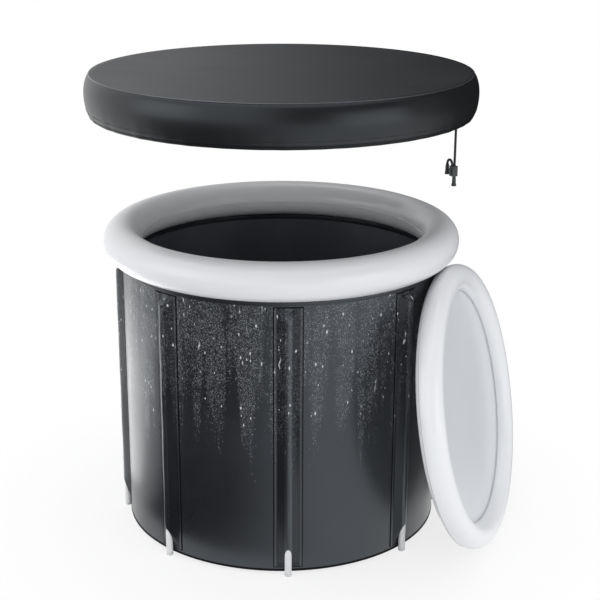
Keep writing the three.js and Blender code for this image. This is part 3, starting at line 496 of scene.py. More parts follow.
def liner_vinyl(name, base, radius):
    look = Finish(name, base, 0.42)
    look.vary(6.0, 0.36, 0.5, 0.15)
    woven = look.weave(look.unroll(radius), 500.0)
    crumple = noise(look.tree, look.place(), 9.0, 3.0)
    look.bump((crumple, 0.004, 0.25), (woven, 0.00008, 0.35))
    return look.material


def open_foam(name, base):
    look = Finish(name, base, 0.95, specular=0.2)
    look.vary(8.0, 0.9, 1.0, 0.12)
    pores, _ = cells(look.tree, look.place(), 700.0)
    look.bump((pores, 0.0006, 0.6))
    return look.material


def moulded_plastic(name, base, low, high, grain=0.25):
    look = Finish(name, base, low, specular=0.5)
    _, cloud = look.vary(30.0, low, high, 0.06)
    flow = noise(look.tree, look.place(), 180.0, 3.0)
    look.bump((flow, 0.0002, 0.2), (cloud["Speckle"], 0.00005, grain))
    return look.material


def soft_rubber(name, base):
    look = Finish(name, base, 0.8, specular=0.35)
    _, cloud = look.vary(40.0, 0.7, 0.9, 0.2)
    look.bump((cloud["Speckle"], 0.0001, 0.35))
    return look.material


def braided_cord(name, base):
    """Round braid: two sets of strands that cross on a slant."""
    look = Finish(name, base, 0.75, specular=0.3)
    tone, _ = look.vary(60.0, 0.68, 0.85, 0.2)
    x, y, height = split(look.tree, look.place())
    side = maths(look.tree, "ADD", x, y)
    crossing = []
    for slant in (1.0, -1.0):
        run = maths(look.tree, "MULTIPLY_ADD", side, slant, height)
        crossing.append(maths(look.tree, "SINE", maths(look.tree, "MULTIPLY", run, 3600.0)))
    strands = maths(look.tree, "MAXIMUM", *crossing)
    # The strands are painted lighter on their crests and darker between them: painted light and shade of the
    # braid's relief.
    light = (*(min(part * 1.7, 1.0) for part in base), 1.0)
    feed(look.tree, look.shader.inputs["Base Color"],
         blended(look.tree, ramp(look.tree, strands, -0.2, 1.0), tone, light))
    look.bump((strands, 0.0005, 0.7))
    return look.material


def pressed_metal(name, base):
    look = Finish(name, base, 0.35, metallic=1.0)
    _, cloud = look.vary(120.0, 0.28, 0.45, 0.15)
    look.bump((cloud["Speckle"], 0.00004, 0.3))
    return look.material


def sewing_thread(name, base):
    look = Finish(name, base, 0.6, specular=0.4)
    _, cloud = look.vary(150.0, 0.5, 0.7, 0.2)
    look.bump((cloud["Speckle"], 0.0001, 0.5))
    return look.material


def shade(base, factor):
    return [part * factor for part in base]


def finish_of(name):
    """The finish of that name, made the first time it is asked for."""
    made = bpy.data.materials.get(name)
    if made:
        return made
    paint = bpy.context.scene.tub_colours
    wall_radius = bpy.context.scene.tub_sizes.wall_radius
    finishes = {
        # For the wall vinyls the fourth value is the grey of the beads' painted highlight.
        "Wet wall vinyl": (wall_vinyl, paint.wall, wall_radius),
        "Wet sleeve vinyl": (wall_vinyl, paint.wall, wall_radius, 0.15, 1.0),
        # Sleeve flanks: the wall's colour at 0.7 as painted shade, with dimmer painted highlights on their
        # beads.
        "Sleeve flank vinyl": (wall_vinyl, shade(paint.wall, 0.7), wall_radius, 0.09, 0.4),
        "Wall tape vinyl": (wall_vinyl, paint.wall, wall_radius, 0.2, 0.8, False),
        # Near-black strips of painted shadow at the sleeves' borders and at the wall's foot.
        "Weld groove": (shadow_line_vinyl, shade(paint.wall, 0.25)),
        "Cover panel cloth": (cover_cloth, paint.cover, 0.0, 0.42, 0.47, 0.37),
        "Cover skirt cloth": (cover_cloth, shade(paint.cover, 0.8), COVER_ROUND, 0.30, 0.34),
        # Hem: the cover's colour at 0.6 as painted shade along the lower edge.
        "Cover hem cloth": (cover_cloth, shade(paint.cover, 0.6), COVER_ROUND, 0.36, 0.42, 0.2),
        # Piping: the cover's colour made three times lighter and glossy, a painted highlight along the seam.
        "Cover piping cloth": (cover_cloth, shade(paint.cover, 3.0), COVER_ROUND, 0.2, 0.26, 0.9),
        "Black thread": (sewing_thread, shade(paint.cover, 0.8)),
        "Ring vinyl": (glossy_vinyl, paint.ring, 0.30, 0.33),
        "Lid vinyl": (glossy_vinyl, paint.lid, 0.28, 0.31),
        "Lid sheet vinyl": (glossy_vinyl, paint.sheet, 0.34, 0.38),
        "Weld seam vinyl": (moulded_plastic, shade(paint.lid, 0.62), 0.4, 0.5),
        "Liner vinyl": (liner_vinyl, paint.liner, wall_radius),
        "Padding foam": (open_foam, paint.foam),
        "Pole plastic": (moulded_plastic, paint.pole, 0.32, 0.42),
        "Foot plastic": (moulded_plastic, paint.foot, 0.45, 0.6),
        "Valve plastic": (moulded_plastic, paint.valve, 0.3, 0.42),
        "Drain plastic": (moulded_plastic, paint.drain, 0.36, 0.5, 0.5),
        "Lock plastic": (moulded_plastic, paint.lock, 0.36, 0.5, 0.5),
        "Seal rubber": (soft_rubber, paint.rubber),
        "Drawstring braid": (braided_cord, paint.cord),
        "Eyelet metal": (pressed_metal, paint.eyelet),
    }
    build, *values = finishes[name]
    return build(name, *values)


# Mesh helpers


def mesh_piece(name, points, faces, finish, crease=38.0, place=None):
    """A new object from points and faces, with faces outwards and edges sharper than crease kept crisp."""
    mesh = bpy.data.meshes.new(name)
    mesh.from_pydata(points, [], faces)
    work = bmesh.new()
    work.from_mesh(mesh)
    bmesh.ops.remove_doubles(work, verts=work.verts, dist=0.000001)
    bmesh.ops.dissolve_degenerate(work, dist=0.0000005, edges=work.edges)
    bmesh.ops.recalc_face_normals(work, faces=work.faces)
    work.to_mesh(mesh)
    work.free()
    mesh.shade_smooth()
    mesh.set_sharp_from_angle(angle=math.radians(crease))
    mesh.materials.append(finish_of(finish))
    piece = bpy.data.objects.new(name, mesh)
    if place is not None:
        piece.matrix_world = place
    bpy.context.scene.collection.objects.link(piece)
    return piece


def settle(piece, body, slot, *nodes):
    """The piece moves with a body and stands for the nodes, which are hidden. The slot is not used."""
    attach(piece, body)
    if nodes:
        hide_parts(*nodes)
    return piece


def turned(profile, steps=ROUND_STEPS, shift=None):
    """Points and faces of a closed outline of (radius, height) turned about Z."""
    points = []
    for step in range(steps):
        turn = 2 * math.pi * step / steps
        for radius, height in profile:
            if shift:
                radius, height = shift(radius, height, turn)
            points.append((radius * math.cos(turn), radius * math.sin(turn), height))
    count = len(profile)
    faces = []
    for step in range(steps):
        here = step * count
        there = ((step + 1) % steps) * count
        for place in range(count):
            after = (place + 1) % count
            faces.append((here + place, there + place, there + after, here + after))
    return points, faces


def eased(outline, radius, steps=3):
    """The closed outline with its corners rounded; corners on the axis stay."""
    result = []
    count = len(outline)
    for place, (x, y) in enumerate(outline):
        corner = Vector((x, y))
        back = Vector(outline[place - 1]) - corner
        ahead = Vector(outline[(place + 1) % count]) - corner
        reach = min(radius, back.length * 0.45, ahead.length * 0.45)
        if x == 0 or reach < 1e-6:
            result.append((x, y))
            continue
        start = corner + back.normalized() * reach
        end = corner + ahead.normalized() * reach
        for step in range(steps + 1):
            share = step / steps
            point = start * (1 - share) ** 2 + corner * (2 * share * (1 - share)) + end * share**2
            result.append((point.x, point.y))
    return result


def divided(outline, pitch):
    """The closed outline with long sides divided."""
    result = []
    for place, start in enumerate(outline):
        end = outline[(place + 1) % len(outline)]
        pieces = max(1, math.ceil(math.dist(start, end) / pitch))
        for step in range(pieces):
            share = step / pieces
            result.append(tuple(a + (b - a) * share for a, b in zip(start, end)))
    return result


def tube_outline(radius, height, reach, sides):
    turns = [2 * math.pi * side / sides for side in range(sides)]
    return [(radius + reach * math.cos(turn), height + reach * math.sin(turn)) for turn in turns]


def spaced(first, last, steps):
    """Evenly spaced values, with both ends."""
    return [first + (last - first) * step / steps for step in range(steps + 1)]


def bridged(first, rings, sides):
    """Faces from ring to ring of points, with a face over both ends."""
    faces = []
    for ring in range(rings - 1):
        low = first + ring * sides
        for side in range(sides):
            after = (side + 1) % sides
            faces.append((low + side, low + after, low + sides + after, low + sides + side))
    faces.append(tuple(first + side for side in reversed(range(sides))))
    faces.append(tuple(first + (rings - 1) * sides + side for side in range(sides)))
    return faces


def round_the_tub(angle, radius, height):
    return Vector((radius * math.sin(angle), -radius * math.cos(angle), height))


def without(piece, tool_points, tool_faces, place):
    """Cuts a closed tool shape out of the piece."""
    tool = mesh_piece("cutting_tool", tool_points, tool_faces, "Drain plastic", place=place)
    cut = piece.modifiers.new("hole", "BOOLEAN")
    cut.operation = "DIFFERENCE"
    cut.solver = "EXACT"
    cut.object = tool
    bpy.context.view_layer.update()
    shaped = bpy.data.meshes.new_from_object(piece.evaluated_get(bpy.context.evaluated_depsgraph_get()))
    piece.modifiers.remove(cut)
    old = piece.data
    piece.data = shaped
    bpy.data.meshes.remove(old)
    bpy.data.objects.remove(tool)


def stitch_row(name, radius, height, count, reach, lean=0.0):
    """A row of short stitches round the tub, on a cloth whose way out is tipped up by the lean."""
    points = []
    faces = []
    rings = ((-1.0, 0.35), (-0.6, 1.0), (0.6, 1.0), (1.0, 0.35))
    sides = 6
    for stitch in range(count):
        angle = 2 * math.pi * stitch / count
        middle = round_the_tub(angle, radius, height)
        run = Vector((math.cos(angle), math.sin(angle), 0.0))
        out = round_the_tub(angle, 1.0, lean).normalized()
        across = run.cross(out).normalized()
        faces += bridged(len(points), len(rings), sides)
        for along, fullness in rings:
            thickness = STITCH_THICKNESS * fullness
            for side in range(sides):
                turn = 2 * math.pi * side / sides
                around = across * math.cos(turn) + out * math.sin(turn)
                points.append(middle + run * (along * reach) + around * thickness)
    return mesh_piece(name, points, faces, "Black thread")


def smooth_node(node, finish, width):
    """Gives a node its finish, and rounds its edges with modifiers."""
    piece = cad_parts[node]
    piece.data.materials.clear()
    piece.data.materials.append(finish_of(finish))
    for face in piece.data.polygons:
        face.material_index = 0
    weld = piece.modifiers.new("joined", "WELD")
    weld.merge_threshold = 0.00001
    round_off = piece.modifiers.new("rounded", "BEVEL")
    round_off.width = width
    round_off.segments = 3
    round_off.limit_method = "ANGLE"
    round_off.angle_limit = math.radians(32)


def wall_layers(sizes):
    """Thickness of the wall: skin, foam and liner with a gap between each two."""
    return sizes.shell + sizes.wall_padding + sizes.liner + 2 * FIT_GAP


def pole_angles(sizes):
    return [sizes.first_pole + 2 * math.pi * place / sizes.pole_count for place in range(sizes.pole_count)]


def drain_frame(sizes):
    """A frame on the tub's axis whose +Z runs out through the drain."""
    return Matrix.Translation((0.0, 0.0, sizes.drain_height)) @ Matrix.Rotation(-math.pi / 2, 4, "X")


def cord_frame(cover):
    """The point straight above which the drawstring leaves the hem."""
    return Matrix.Translation(round_the_tub(cover.tail_angle, cover.hem_centre, 0.0))


def lid_frame(cover):
    """A frame in the middle of the lid whose +Z faces away from the tub and whose +X runs down the lid."""
    return (
        Matrix.Translation((cover.lid_foot, 0.0, cover.lid_tube))
        @ Matrix.Rotation(-cover.lid_lean, 4, "Y")
        @ Matrix.Translation((0.0, 0.0, cover.lid_radius))
        @ Matrix.Rotation(math.pi / 2, 4, "Y")
    )


# Operators


class TUB_OT_camera(bpy.types.Operator):
    """Places the camera in front of the tub, a little above it and to the right"""

    bl_idname = "plunge_tub.camera"
    bl_label = "Camera"
    bl_options = {"REGISTER", "UNDO"}

    def execute(self, context):
        scene = context.scene
        look_down = math.radians(18.975)
        look_round = math.radians(20.2)
        lens = bpy.data.cameras.new("Camera")
        lens.sensor_width = 36.0
        lens.lens = 84.665
        lens.shift_x = 0.0311
        lens.shift_y = 0.0430
        camera = bpy.data.objects.new("Camera", lens)
        camera.location = (1.1125, -3.0237, 1.5754)
        camera.rotation_euler = (math.pi / 2 - look_down, 0.0, look_round)
        scene.collection.objects.link(camera)
        scene.camera = camera
        return {"FINISHED"}


class TUB_OT_cords(bpy.types.Operator):
    """Hangs the drawstring's two ends from the cover"""

    bl_idname = "plunge_tub.cords"
    bl_label = "Drawstring Ends"
    bl_options = {"REGISTER", "UNDO"}

    def cord_curve(self, name, route, diameter):
        curve = bpy.data.curves.new(name, "CURVE")
        curve.dimensions = "3D"
        curve.bevel_depth = diameter / 2
        curve.bevel_resolution = 4
        curve.use_fill_caps = True
        line = curve.splines.new("POLY")
        line.points.add(len(route) - 1)
        for point, place in zip(line.points, route):
            point.co = (*place, 1.0)
        curve.materials.append(finish_of("Drawstring braid"))
        piece = bpy.data.objects.new(name, curve)
        bpy.context.scene.collection.objects.link(piece)
        return piece

    def short_route(self, start, bend, rise, drop):
        """Up out of the lock, over in one bend and down."""
        far = -2 * bend
        handle = 4 / 3 * bend
        route = [Vector((0.0, 0.0, start))]
        corners = [(0.0, 0.0), (0.0, handle), (far, handle), (far, 0.0)]
        for share in spaced(0.0, 1.0, 24):
            weights = [(1 - share) ** 3, 3 * share * (1 - share) ** 2, 3 * share**2 * (1 - share), share**3]
            x, z = (sum(w * c[axis] for w, c in zip(weights, corners)) for axis in (0, 1))
            route.append(Vector((x, 0.0, start + rise + z)))
        route.append(Vector((far, 0.0, start + rise - drop)))
        return route

    def execute(self, context):
        cover = context.scene.cover_sizes
        hang = cord_frame(cover)
        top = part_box("drawstring_tail")[1].z
        bottom = top - cover.tail
        route = [hang @ Vector((0.0, 0.0, height)) for height in spaced(top, bottom, 24)]
        tail = self.cord_curve("hanging_cord", route, cover.cord)
        settle(tail, "cover", "cord_weave", "drawstring_tail")
        bell = self.bell("hanging_cord_bell", hang @ Matrix.Translation((0.0, 0.0, bottom)))
        settle(bell, "cover", "lock_plastic", "tail_bell")

        turned_lock = (
            hang @ Matrix.Rotation(cover.lock_turn, 4, "Z")
            @ Matrix.Translation((0.0, -cover.short_end_reach, 0.0))
        )
        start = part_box("cord_lock_body")[1].z + FIT_GAP
        rise, drop = cover.short_end_rise, cover.short_end_drop
        route = [turned_lock @ point for point in self.short_route(start, cover.short_end_bend, rise, drop)]
        short = self.cord_curve("short_cord", route, cover.cord)
        settle(short, "cord_lock", "cord_weave", "drawstring_short_end")
        place = Matrix.Translation((-2 * cover.short_end_bend, 0.0, start + rise - drop))
        bell = self.bell("short_cord_bell", turned_lock @ place)
        settle(bell, "cord_lock", "lock_plastic", "short_end_bell")
        return {"FINISHED"}

    def bell(self, name, place):
        profile = eased([
            (0.0, -0.017), (0.0060, -0.017), (0.0058, -0.0125), (0.0049, -0.0102), (0.0046, -0.002),
            (0.0041, 0.008), (0.0033, 0.008), (0.0033, -0.0003), (0.0, -0.0003),
        ], 0.0007)
        return mesh_piece(name, *turned(profile, SMALL_STEPS), "Lock plastic", place=place)


class TUB_OT_wall(bpy.types.Operator):
    """Makes the outer skin, the padding and the liner"""

    bl_idname = "plunge_tub.wall"
    bl_label = "Wall and Floor"
    bl_options = {"REGISTER", "UNDO"}

    def execute(self, context):
        sizes = context.scene.tub_sizes
        slope_end = sizes.wall_radius - sizes.edge_round
        flat = slope_end - sizes.base_slope
        edge_top = sizes.base_rise + sizes.edge_round
        inside = sizes.wall_radius - sizes.shell
        skin = eased([
            (0.0, 0.0), (flat, 0.0), (slope_end, sizes.base_rise), (sizes.wall_radius, edge_top),
            (sizes.wall_radius, sizes.wall_top), (inside, sizes.wall_top), (inside, edge_top),
            (slope_end - sizes.shell / 2, sizes.base_rise + sizes.shell), (flat, sizes.shell),
            (0.0, sizes.shell),
        ], 0.003, 4)
        piece = mesh_piece("wall_skin", *turned(divided(skin, 0.02)), "Wet wall vinyl")
        self.drain_hole(piece, sizes)
        settle(piece, "tub", "black_vinyl", "outer_shell")

        # A near-black strip round the wall's foot: painted shadow where the wall meets the floor.
        shadow_low, shadow_top = 0.0085, 0.0135
        weld_in, weld_out = sizes.wall_radius - 0.0006, sizes.wall_radius + 0.0007
        strip = eased([
            (weld_in, shadow_low), (weld_out, shadow_low), (weld_out, shadow_top), (weld_in, shadow_top),
        ], 0.0004)
        piece = mesh_piece("wall_foot_weld", *turned(strip), "Weld groove")
        settle(piece, "tub", "black_vinyl")

        foam_out = inside - FIT_GAP
        foam_in = foam_out - sizes.wall_padding
        foam_low = edge_top + FIT_GAP
        layer = eased([
            (foam_in, foam_low), (foam_out, foam_low), (foam_out, sizes.wall_top), (foam_in, sizes.wall_top),
        ], 0.001)
        piece = mesh_piece("wall_padding", *turned(layer, PADDING_STEPS), "Padding foam")
        self.drain_hole(piece, sizes)
        settle(piece, "tub", "foam", "wall_foam")

        liner_out = foam_in - FIT_GAP
        pad_low = sizes.shell + FIT_GAP
        pad_top = pad_low + sizes.floor_padding
        rise = sizes.base_rise * (liner_out - flat) / (sizes.base_slope - sizes.shell / 2)
        layer = eased([
            (0.0, pad_low), (flat, pad_low), (liner_out, pad_low + rise), (liner_out, pad_top),
            (0.0, pad_top),
        ], 0.001)
        piece = mesh_piece("floor_padding", *turned(layer, PADDING_STEPS), "Padding foam")
        settle(piece, "tub", "foam", "base_foam")
        self.liner(sizes, liner_out, pad_top + FIT_GAP)
        return {"FINISHED"}

    def liner(self, sizes, outside, bottom):
        inside = outside - sizes.liner
        corner = sizes.liner_corner
        half = sizes.liner / 2
        cup = eased([
            (0.0, bottom), (outside - corner, bottom), (outside, bottom + corner), (outside, sizes.wall_top),
            (inside, sizes.wall_top), (inside, bottom + corner + half),
            (outside - corner - half, bottom + sizes.liner), (0.0, bottom + sizes.liner),
        ], 0.006, 5)
        piece = mesh_piece("inner_skin", *turned(divided(cup, 0.02)), "Liner vinyl")
        self.drain_hole(piece, sizes)
        settle(piece, "tub", "liner_vinyl", "inner_liner")

    def drain_hole(self, piece, sizes):
        hole = 0.0133
        start, end = sizes.wall_radius - 0.1, sizes.wall_radius + 0.05
        bar = [(0.0, start), (hole, start), (hole, end), (0.0, end)]
        without(piece, *turned(bar, SMALL_STEPS), drain_frame(sizes))


class TUB_OT_edge_tape(bpy.types.Operator):
    """Folds the tape over the wall's top edge and stitches it down"""

    bl_idname = "plunge_tub.edge_tape"
    bl_label = "Edge Tape"
    bl_options = {"REGISTER", "UNDO"}

    def execute(self, context):
        sizes = context.scene.tub_sizes
        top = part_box("top_binding")[1].z
        outer = sizes.wall_radius + FIT_GAP + sizes.tape
        inner = outer - 2 * (sizes.tape + FIT_GAP) - wall_layers(sizes)
        bottom = top - sizes.tape_depth
        under = top - sizes.tape
        fold = eased([
            (outer, bottom), (outer, top), (inner, top), (inner, bottom), (inner + sizes.tape, bottom),
            (inner + sizes.tape, under), (outer - sizes.tape, under), (outer - sizes.tape, bottom),
        ], 0.0008)
        tape = mesh_piece("edge_tape", *turned(fold), "Wall tape vinyl")
        settle(tape, "tub", "black_fabric", "top_binding")

        stitches = stitch_row("edge_tape_stitches", outer + 0.0001, bottom + 0.003, 390, 0.0022)
        settle(stitches, "tub", "black_fabric")
        return {"FINISHED"}


class TUB_OT_ring(bpy.types.Operator):
    """Makes the inflated ring round the mouth with its welded seam"""

    bl_idname = "plunge_tub.ring"
    bl_label = "Inflated Ring"
    bl_options = {"REGISTER", "UNDO"}

    def execute(self, context):
        sizes = context.scene.tub_sizes

        def pillow(radius, height, turn):
            swell = 0.0004 * math.sin(17 * turn) + 0.0003 * math.sin(29 * turn + 1.3)
            inward = (sizes.ring_radius - radius) / sizes.ring_tube
            reach = 1.0 - max(0.0, inward) * swell / sizes.ring_tube * 3
            return sizes.ring_radius + (radius - sizes.ring_radius) * reach, height

        outline = tube_outline(sizes.ring_radius, sizes.ring_height, sizes.ring_tube, 64)
        ring = mesh_piece("mouth_ring", *turned(outline, shift=pillow), "Ring vinyl")
        settle(ring, "tub", "ring_vinyl", "top_ring")

        weld = sizes.ring_radius - sizes.ring_tube
        root, tip = weld + 0.0035, weld - 0.0018
        middle = sizes.ring_height
        lip = eased([
            (root, middle - 0.0011), (tip, middle - 0.0006), (tip, middle + 0.0006), (root, middle + 0.0011),
        ], 0.0005)
        seam = mesh_piece("mouth_ring_weld", *turned(lip), "Ring vinyl")
        settle(seam, "tub", "ring_vinyl")
        return {"FINISHED"}


class TUB_OT_sleeves(bpy.types.Operator):
    """Drapes a sleeve over each pole and welds its border to the wall"""

    bl_idname = "plunge_tub.sleeves"
    bl_label = "Pole Sleeves"
    bl_options = {"REGISTER", "UNDO"}

    def execute(self, context):
        sizes = context.scene.tub_sizes
        for place, angle in enumerate(pole_angles(sizes)):
            shape = self.sleeve(sizes, angle, place)
            piece = mesh_piece(f"pole_pocket_{place + 1}", *shape, "Wet sleeve vinyl", crease=30.0)
            self.dull_flanks(piece, sizes, angle)
            # A near-black strip of painted shadow round the sleeve's border.
            self.groove(sizes, angle, place)
            thick = piece.modifiers.new("fabric", "SOLIDIFY")
            thick.thickness = sizes.sleeve_fabric * 0.85
            thick.offset = -1.0
            settle(piece, "tub", "sleeve_vinyl", f"pole_sleeve_{place + 1}")
        return {"FINISHED"}

    def drape(self, sizes):
        """The pole's distance from the wall, the fabric's radius over it and the angle where it leaves it."""
        axis = FIT_GAP + sizes.pole_radius
        crest = axis + sizes.sleeve_fabric
        half = sizes.sleeve_base / 2
        return axis, crest, math.acos(crest / math.hypot(half, axis)) - math.atan2(axis, half)

    def cut_width(self, sizes):
        """Width of the flat fabric: the arc over the pole, both flanks and both borders."""
        axis, crest, touch = self.drape(sizes)
        flank = math.hypot(sizes.sleeve_base / 2 - crest * math.cos(touch), axis + crest * math.sin(touch))
        return 2 * (crest * (math.pi / 2 - touch) + flank + sizes.sleeve_border)

    def dull_flanks(self, piece, sizes, angle):
        """The flanks between the ridge and the border take a darker, less glossy copy of the wall's vinyl:
        the darker colour is painted shade.
        """
        piece.data.materials.append(finish_of("Sleeve flank vinyl"))
        for face in piece.data.polygons:
            turn = math.atan2(face.center.x, -face.center.y) - angle
            side = abs(math.remainder(turn, 2 * math.pi)) * sizes.wall_radius
            if sizes.pole_radius < side < sizes.sleeve_base / 2:
                face.material_index = 1

    def groove(self, sizes, angle, place):
        """A near-black strip round a sleeve's welded border: painted shadow along the border's edge."""
        overlap = 0.0004
        proud = 0.0006
        inner = sizes.sleeve_base / 2 + sizes.sleeve_border - overlap
        outer = inner + sizes.sleeve_groove
        low, high = sizes.sleeve_bottom, sizes.sleeve_top
        wide = sizes.sleeve_groove - overlap
        levels = [low - wide, *spaced(low, high, 24), high + wide]
        sides = [-outer, *spaced(-inner, inner, 8), outer]
        points = []
        for height in levels:
            for side in sides:
                turn = angle + side / sizes.wall_radius
                points.append(round_the_tub(turn, sizes.wall_radius + proud, height))
        faces = []
        for row in range(len(levels) - 1):
            for column in range(len(sides) - 1):
                first = row * len(sides) + column
                if row in (0, len(levels) - 2) or column in (0, len(sides) - 2):
                    faces.append((first, first + 1, first + len(sides) + 1, first + len(sides)))
        piece = mesh_piece(f"pole_pocket_shadow_line_{place + 1}", points, faces, "Weld groove")
        thick = piece.modifiers.new("depth", "SOLIDIFY")
        thick.thickness = 0.0008
        thick.offset = -1.0
        settle(piece, "tub", "sleeve_vinyl")

    def sleeve(self, sizes, angle, place):
        """Points and faces of a sleeve in two halves, with the mouth of the pole between them below."""
        base = FIT_GAP + sizes.sleeve_fabric
        axis, crest, touch = self.drape(sizes)
        half = sizes.sleeve_base / 2
        edge = half + sizes.sleeve_border
        hip_low = sizes.sleeve_bottom + sizes.sleeve_border
        hip_high = sizes.sleeve_top - sizes.sleeve_border
        ridge = axis + crest
        touch_side = crest * math.cos(touch)
        touch_rise = axis + crest * math.sin(touch)
        mouth = sizes.pole_radius + 2 * FIT_GAP
        chance = random.Random(place)
        sway = [chance.uniform(0, 6.28) for _ in range(4)]

        def draped(side):
            if side < touch_side:
                return axis + math.sqrt(crest**2 - side**2)
            return max(0.0, touch_rise * (half - side) / (half - touch_side))

        def softest(a, b):
            blend = 0.0016
            share = max(0.0, blend - abs(a - b)) / blend
            return min(a, b) - share * share * blend / 4

        def rise(side, height):
            lower = (height - hip_low) / sizes.lower_hip
            upper = (hip_high - height) / sizes.upper_hip
            slope = softest(lower, upper) * ridge
            lift = softest(draped(abs(side)), slope)
            pucker = 0.00022 * math.sin(height * 190 + sway[0]) * math.sin(abs(side) * 160 + sway[1])
            pucker += 0.0003 * math.sin(height * 43 + sway[2] + (1.4 if side > 0 else 0.0))
            lift += pucker * min(1.0, max(0.0, lift) / 0.006)
            border = base + 0.0004 * math.exp(-((abs(side) - edge + 0.001) / 0.0006) ** 2)
            return max(lift, border) if lift > border - 0.001 else border

        def mouth_half(height):
            level = max((height - hip_low) / sizes.lower_hip * ridge, base)
            inside = mouth**2 - (level - axis) ** 2
            return math.sqrt(inside) if inside > 0 and height < hip_low + sizes.lower_hip else 0.0

        bottom, top = sizes.sleeve_bottom, sizes.sleeve_top
        rows = [bottom, bottom + 0.0008, bottom + 0.0024, hip_low - 0.0006]
        rows.append(hip_low + sizes.lower_hip * (base + 0.0004) / ridge)
        first_turn = math.asin((base + 0.0008 - axis) / mouth)
        for turn in spaced(first_turn, math.pi / 2, 18)[1:]:
            rows.append(hip_low + sizes.lower_hip * (axis + mouth * math.sin(turn)) / ridge)
        arch_top = rows[-1]
        shoulder = hip_low + sizes.lower_hip
        rows += [arch_top + (shoulder - arch_top) * share for share in (0.4, 0.8, 1.0)]
        rows += [shoulder + 0.002, shoulder + 0.005]
        fall = hip_high - sizes.upper_hip
        rows += spaced(shoulder + 0.005, fall - 0.005, 40)[1:]
        rows += [fall - 0.002, fall, fall + 0.002]
        rows += spaced(fall + 0.002, hip_high - 0.0005, 7)[1:]
        rows += [hip_high + 0.0006, top - 0.0024, top - 0.0008, top]
        columns = [
            0.0, 0.0015, 0.003, 0.0045, 0.0058, 0.0068, 0.008, 0.0105, 0.0135, 0.0165, 0.0195, 0.022, 0.024,
            0.0252, half, half + 0.0008, half + 0.002, edge - 0.0016, edge - 0.0010, edge - 0.0004, edge,
        ]

        points = []
        faces = []
        for hand in (1, -1):
            start = len(points)
            for height in rows:
                opening = mouth_half(height)
                for side in columns:
                    across = opening + side * (edge - opening) / edge
                    lift = rise(hand * across, height)
                    turn = angle + hand * across / sizes.wall_radius
                    points.append(round_the_tub(turn, sizes.wall_radius + lift, height))
            wide = len(columns)
            for row in range(len(rows) - 1):
                for column in range(wide - 1):
                    low = start + row * wide + column
                    faces.append((low, low + 1, low + wide + 1, low + wide))
        return points, faces


class TUB_OT_poles(bpy.types.Operator):
    """Stands the poles on their feet"""

    bl_idname = "plunge_tub.poles"
    bl_label = "Poles and Feet"
    bl_options = {"REGISTER", "UNDO"}

    def execute(self, context):
        sizes = context.scene.tub_sizes
        radius = sizes.pole_radius
        bore = radius - 0.0018
        bottom, top = sizes.foot_height + FIT_GAP, sizes.pole_top
        tube = eased([(bore, bottom), (radius, bottom), (radius, top), (bore, top)], 0.0008)
        stem = bore - FIT_GAP
        seat = sizes.foot_height
        stem_top = seat + 0.016
        groove = radius - 0.0005
        foot = eased([
            (0.0, 0.0), (radius - 0.0022, 0.0), (radius, 0.0022), (radius, 0.0048), (groove, 0.0052),
            (groove, 0.0057), (radius, 0.0061), (radius, seat), (stem, seat), (stem, stem_top),
            (0.0, stem_top),
        ], 0.0009)
        centre = sizes.wall_radius + FIT_GAP + radius
        pole_shape = turned(divided(tube, 0.05), POLE_STEPS)
        foot_shape = turned(foot, POLE_STEPS)
        for number, angle in enumerate(pole_angles(sizes), 1):
            spot = Matrix.Translation(round_the_tub(angle, centre, 0.0)) @ Matrix.Rotation(angle, 4, "Z")
            pole = mesh_piece(f"pole_{number}", *pole_shape, "Pole plastic", place=spot)
            settle(pole, "tub", "pole_plastic", f"support_pole_{number}")
            end = mesh_piece(f"foot_{number}", *foot_shape, "Foot plastic", place=spot)
            settle(end, "tub", "foot_plastic", f"pole_foot_{number}")
        return {"FINISHED"}


